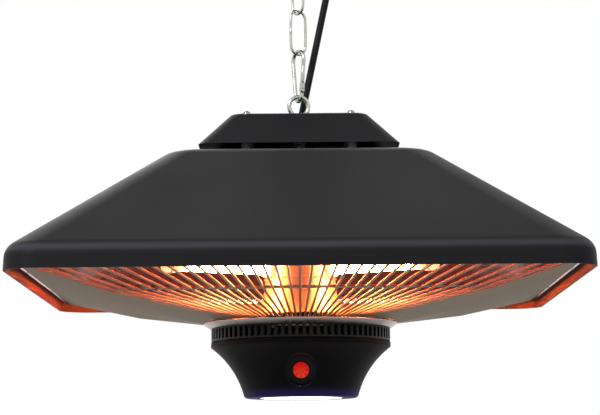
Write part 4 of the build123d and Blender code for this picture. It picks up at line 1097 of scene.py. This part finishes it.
# One nickel plating in two colours: the wires' dark warm tone is painted shade and lamp glow, and the outer frame's
# near white is a painted highlight.
nickel_painted_shade_and_glow = finish("nickel_painted_shade_and_glow", (0.28, 0.23, 0.18), 0.4, metallic=1.0, tone=0.08, rough_spread=0.04, broad=40,
                      fine=1600, relief=0.001)
nickel_painted_highlight = finish("nickel_painted_highlight", (0.9, 0.88, 0.84), 0.14, metallic=1.0, tone=0.06, rough_spread=0.04, broad=40,
                      fine=1600, relief=0.001)
build("guard_wire_set", [guard_wire(2 * pi * index / wires - pi / 2) for index in range(wires)], "heater",
      "guard_steel", nickel_painted_shade_and_glow, "guard_wires", crease=60)
build("guard_outer_wire", [square_ring(frame_half, frame_corner, frame_height, frame_wire)], "heater",
      "guard_steel", nickel_painted_highlight, "guard_outer_frame")
build("guard_middle_wire", [square_ring(middle_half, middle_corner, middle_height, middle_wire)], "heater",
      "guard_steel", nickel_painted_shade_and_glow, "guard_middle_ring")

# Collar: a dished ring of bright sheet that the inner ends of the wires are welded to. It sits on the shoulder
# of the vent ring.
collar_foot = vent_neck_radius + 0.3
collar_bend = vent_radius + 0.8
collar_line = bent_line([
    (collar_foot, vent_shoulder), (collar_bend, vent_shoulder), (collar_radius, collar_top - collar_sheet),
    (collar_radius, collar_top), (collar_seat, collar_top),
    (collar_bend - collar_sheet / 2, vent_shoulder + collar_sheet), (collar_foot, vent_shoulder + collar_sheet),
], [1.2, 0.4, 0.3, 0.3, 0.6], 4)
collar_steel = finish("collar_steel", (0.43, 0.37, 0.345), 0.3, metallic=1.0, tone=0.08, broad=50, fine=1800,
                      relief=0.005)
build("guard_collar_ring", [turned(collar_line, 160)], "heater", "guard_steel", collar_steel, "guard_collar",
      loop=True, crease=50)

# Clips and lamp brackets: folded from plated strip. Their plain shape is right as it is.
strip_steel = finish("strip_steel", (0.5, 0.5, 0.5), 0.34, metallic=1.0, broad=90, fine=1600, relief=0.008)
dress(strip_steel, "guard_clips", "lamp_brackets")

# Vent ring: a moulded ring of black glass-filled nylon, with a row of upright slots between thin ribs, that cools
# the electronics. A step at its top carries the collar.
vent_wall = 3.0
vent_base = -41.0
vent_inner = vent_radius - vent_wall
neck_inner = vent_neck_radius - vent_wall
ledge = 4.0
ledge_height = 2.0
ledge_reach = neck_inner - ledge
vent_edge = 0.35
vent_slots = 80
slot_width = 3.2
slot_height = 8.2
slot_base = -39.5
slot_edge = 0.6
slot_near = 64
slot_far = 75
vent_line = bent_line([
    (neck_inner, housing_top), (vent_neck_radius, housing_top), (vent_neck_radius, vent_shoulder),
    (vent_radius, vent_shoulder), (vent_radius, vent_base), (vent_inner, vent_base), (vent_inner, vent_shoulder),
    (ledge_reach, plate_under - ledge_height), (ledge_reach, plate_under), (neck_inner, plate_under),
], [vent_edge, 0, vent_edge, vent_edge, 0, 0, 0, 0], 3)
vent_ring = skin("vent_ring_moulding", [turned(vent_line[::-1], 240)], loop=True, crease=30)


def slot_block(angle):
    """A box through the ring's wall at one slot, with its corners cut off a little."""
    side, high = slot_width / 2, slot_height
    flat, low = side - slot_edge, slot_edge
    outline = np.array([(-side, low), (-flat, 0), (flat, 0), (side, low), (side, high - low), (flat, high),
                        (-flat, high), (-side, high - low)])
    middle = 0 * outline + outline.mean(0)
    way, square = upright(angle)
    return np.stack([reach * way - points[:, :1] * square + (points[:, 1:] + slot_base) * up
                     for points, reach in (
                         (middle, slot_near), (outline, slot_near), (outline, slot_far), (middle, slot_far))])


cut(vent_ring, [slot_block(2 * pi * index / vent_slots) for index in range(vent_slots)])
vent_ring.data.set_sharp_from_angle(angle=radians(30))
black_moulding = finish("black_moulding", (0.0045, 0.004, 0.0042), 0.4, tone=0.15, broad=22, fine=2600,
                        specular=0.2)
settle(vent_ring, "heater", "black_moulding", black_moulding, "vent_ring")

# Housing cup: the lower shell, moulded in black plastic with a soft spark-eroded sheen. A lip meets the vent
# ring, and below it the side falls in one hollow curve to the rounded edge of the base, open for the light.
cup_wall = 2.5
reveal_gap = 0.4
lip_radius = 71.3
lip_height = 3.8
lip_top = vent_base - reveal_gap
lip_base = lip_top - lip_height
spigot_height = 4.0
spigot_radius = vent_inner - 0.1
spigot_top = lip_top + spigot_height
inner_lip = spigot_radius - cup_wall
cup_base = -85.4
cup_base_radius = 44.9
cup_base_bend = 3.3
cup_curve_radius = 69.7
light_radius = 32.8
button_height = -65.2
recess_radius = 12.75
recess_depth = 45.0
recess_floor = 2.0
lip_foot = np.array([lip_radius, lip_base])
cup_chord = np.array([cup_base_radius, cup_base]) - lip_foot
cup_set_out = sqrt(cup_curve_radius**2 - (cup_chord @ cup_chord) / 4)
cup_centre = lip_foot + cup_chord / 2 + unit(np.array([-cup_chord[1], cup_chord[0]])) * cup_set_out


def cup_side(inset):
    """The hollow side, an arc about a point outside the cup, from the lip down to the base. Set in by a wall, it
    keeps that centre."""
    height = np.linspace(lip_base, cup_base + inset, 41)
    reach = np.sqrt((cup_curve_radius + inset) ** 2 - (height - cup_centre[1]) ** 2)
    return np.column_stack([cup_centre[0] - reach, height])


outer_side = cup_side(0)
inner_side = cup_side(cup_wall)
inner_side = inner_side[inner_side[:, 0] < inner_lip]
lip_line = bent_line([(spigot_radius, lip_top), (lip_radius, lip_top), lip_foot, outer_side[1]], [0.5, 0.4], 4)
base_edge = bent_line([outer_side[-5], (cup_base_radius, cup_base), (light_radius, cup_base)], [cup_base_bend], 8)
cup_line = np.vstack([
    (spigot_radius, spigot_top), lip_line[:-1], outer_side[1:-5], base_edge, (light_radius, cup_base + cup_wall),
    inner_side[::-1], (inner_lip, inner_side[0, 1]), (inner_lip, spigot_top),
])
cup = skin("housing_cup_shell", [turned(cup_line, 192)], loop=True, crease=28)
recess = drill(recess_radius, recess_depth - 2 * recess_floor, lip_radius + 5, 72)
cut(cup, [np.stack([recess[..., 0], -recess[..., 2], recess[..., 1] + button_height], -1)])
cup.data.set_sharp_from_angle(angle=radians(28))
even_shade(cup)
# A faint violet glow painted on the cup's lower edge stands for the light's bloom; the black plastic gives no light.
cup_plastic = finish("cup_plastic", (0.0105, 0.0095, 0.0102), 0.54, broad=14, fine=2200, relief=0.012,
                     specular=0.06, glow=(0.2, 0.12, 1.0))
painted_edge_glow = cup_plastic.node_tree
drive(painted_edge_glow, "Emission Strength", ramp(painted_edge_glow, position(painted_edge_glow)["Z"], rim + (cup_base + 10.0) * mm,
                                           rim + cup_base * mm, 0.0, 0.045))
settle(cup, "heater", "black_moulding", cup_plastic, "housing_cup")

# Bezel: a black cup pressed into the recess, whose rim follows the curve of the housing. A short guide in its
# floor holds the button.
bezel_wall = 1.2
bezel_radius = recess_radius - 0.1
bezel_well = bezel_radius - bezel_wall
floor_back = recess_depth - recess_floor
button_radius = 6.1
button_gap = 0.2
button_hole = button_radius + button_gap
guide_radius = 7.9
guide_length = 9.0
guide_front = floor_back - guide_length
bezel_turn = round_angles(96)


def housing_edge(radius, behind):
    """A ring about the button, a little behind the housing's side: its radius, and how far forward it is at each
    point, from the side's radius at that height and the circle of the housing there."""
    x, height = radius * np.cos(bezel_turn), button_height + radius * np.sin(bezel_turn)
    reach = np.interp(height, outer_side[::-1, 1], outer_side[::-1, 0])
    return radius, np.sqrt(reach**2 - x**2) - behind


def button_rings(*rows):
    """Rings about the button's axis. Each has a radius and a depth, one number or a number for each point."""
    return np.stack([np.column_stack([
        radius * np.cos(bezel_turn), -depth - 0 * bezel_turn, button_height + radius * np.sin(bezel_turn),
    ]) for radius, depth in rows])


bezel_black = finish("bezel_black", (0.0028, 0.003, 0.0042), 0.35, tone=0.1, broad=60, fine=2600, relief=0.004,
                     specular=0.12)
build("button_bezel_cup", [button_rings(
    (button_hole, floor_back), (button_hole, recess_depth - 0.3), (button_hole + 0.3, recess_depth),
    (bezel_well - 0.8, recess_depth), (bezel_well - 0.2, recess_depth + 0.25), (bezel_well, recess_depth + 0.9),
    housing_edge(bezel_well, 0.35), housing_edge(bezel_well + 0.3, 0.05), housing_edge(bezel_radius - 0.25, 0.05),
    housing_edge(bezel_radius, 0.3), (bezel_radius, floor_back),
)], "heater", "black_moulding", bezel_black, "button_bezel", loop=True, crease=35)
build("button_guide_tube", [button_rings(
    (button_hole, guide_front), (button_hole, floor_back), (guide_radius, floor_back), (guide_radius, guide_front),
)], "heater", "black_moulding", bezel_black, "button_bezel", loop=True)

# Button: a clear red cap with a domed face and facets moulded inside it like a star, lit from behind.
button_travel = 1.5
button_dome = 3.6
button_length = 11.0
button_back = recess_depth - guide_length + button_travel
button_front = button_back + button_length
star_points = 8
lit_red = finish("lit_red_lens", (0.3, 0.004, 0.004), 0.3, tone=0.08, broad=200, relief=0.002, specular=0.12,
                 glow=(1, 0.02, 0.01), glow_strength=0.62)
star = lit_red.node_tree
place = position(star)
height = maths(star, "SUBTRACT", place["Z"], rim + button_height * mm)
turn = maths(star, "MULTIPLY", maths(star, "ARCTAN2", height, place["X"]), star_points / 2)
rays = maths(star, "ABSOLUTE", maths(star, "SINE", turn))
# Along the star's rays the glow turns brighter orange, more so towards the lens's lower part: that lower brightening
# is a painted highlight.
painted_highlight_low = ramp(star, height, button_radius * mm, -button_radius * mm, kind="LINEAR")
drive(star, "Emission Color", mix(star, maths(star, "MULTIPLY", rays, painted_highlight_low), (0.8, 0.004, 0.008, 1),
                                  (1.0, 0.09, 0.03, 1)))
button_face = three_point_arc((0, button_front), (button_radius * 0.72, button_front - button_dome * 0.3),
                              (button_radius, button_front - button_dome), 21)
build("red_button_cap", [button_rings(
    (0, button_back), (button_radius - 0.2, button_back), (button_radius, button_back + 0.2),
    *[(max(radius, 0), depth) for radius, depth in button_face[::-1]],
)], "button", "red_lens", lit_red, "red_button", crease=45)

# Light: a frosted lens let into the base from inside, over six cool white diodes. It is so bright that it shows
# no detail.
lens_radius = light_radius - 0.1
lens_seat = cup_base + cup_wall
lens_flange_radius = 36.0
lens_flange = 1.5
lens_ring_wall = 2.0
lens_ring_height = 6.0
lens_ring_radius = lens_flange_radius - lens_ring_wall
lens_ring_top = lens_seat + lens_ring_height
lens_line = [
    (0, cup_base + 0.6), (light_radius * 0.6, cup_base + 0.35), (lens_radius - 0.6, cup_base),
    (lens_radius, cup_base + 0.5), (lens_radius, lens_seat), (lens_flange_radius, lens_seat),
    (lens_flange_radius, lens_ring_top), (lens_ring_radius, lens_ring_top),
    (lens_ring_radius, lens_seat + lens_flange), (0, lens_seat + lens_flange),
]
lit_lens = finish("lit_frosted_lens", (0.85, 0.88, 0.95), 0.35, tone=0.03, relief=0.004, glow=(0.86, 0.9, 1.0),
                  glow_strength=3.2)
build("light_lens_disc", [turned(lens_line, 128)], "heater", "frosted_lens", lit_lens, "light_lens", crease=40)

# Inside the housing and the canopy: boards, switch, terminal block, cut-out and the plate that closes the
# housing. Their plain shapes are right, and each gets the finish of its own material.
board_green = finish("board_green", (0.01, 0.11, 0.04), 0.35, tone=0.2, broad=160, relief=0.02)
white_nylon = finish("white_nylon", (0.75, 0.74, 0.7), 0.45, tone=0.05, broad=60, fine=1500)
dress(board_green, "control_board", "light_board")
dress(white_nylon, "terminal_block")
dress(bezel_black, "push_switch")
dress(strip_steel, "thermal_cutout", "housing_plate")
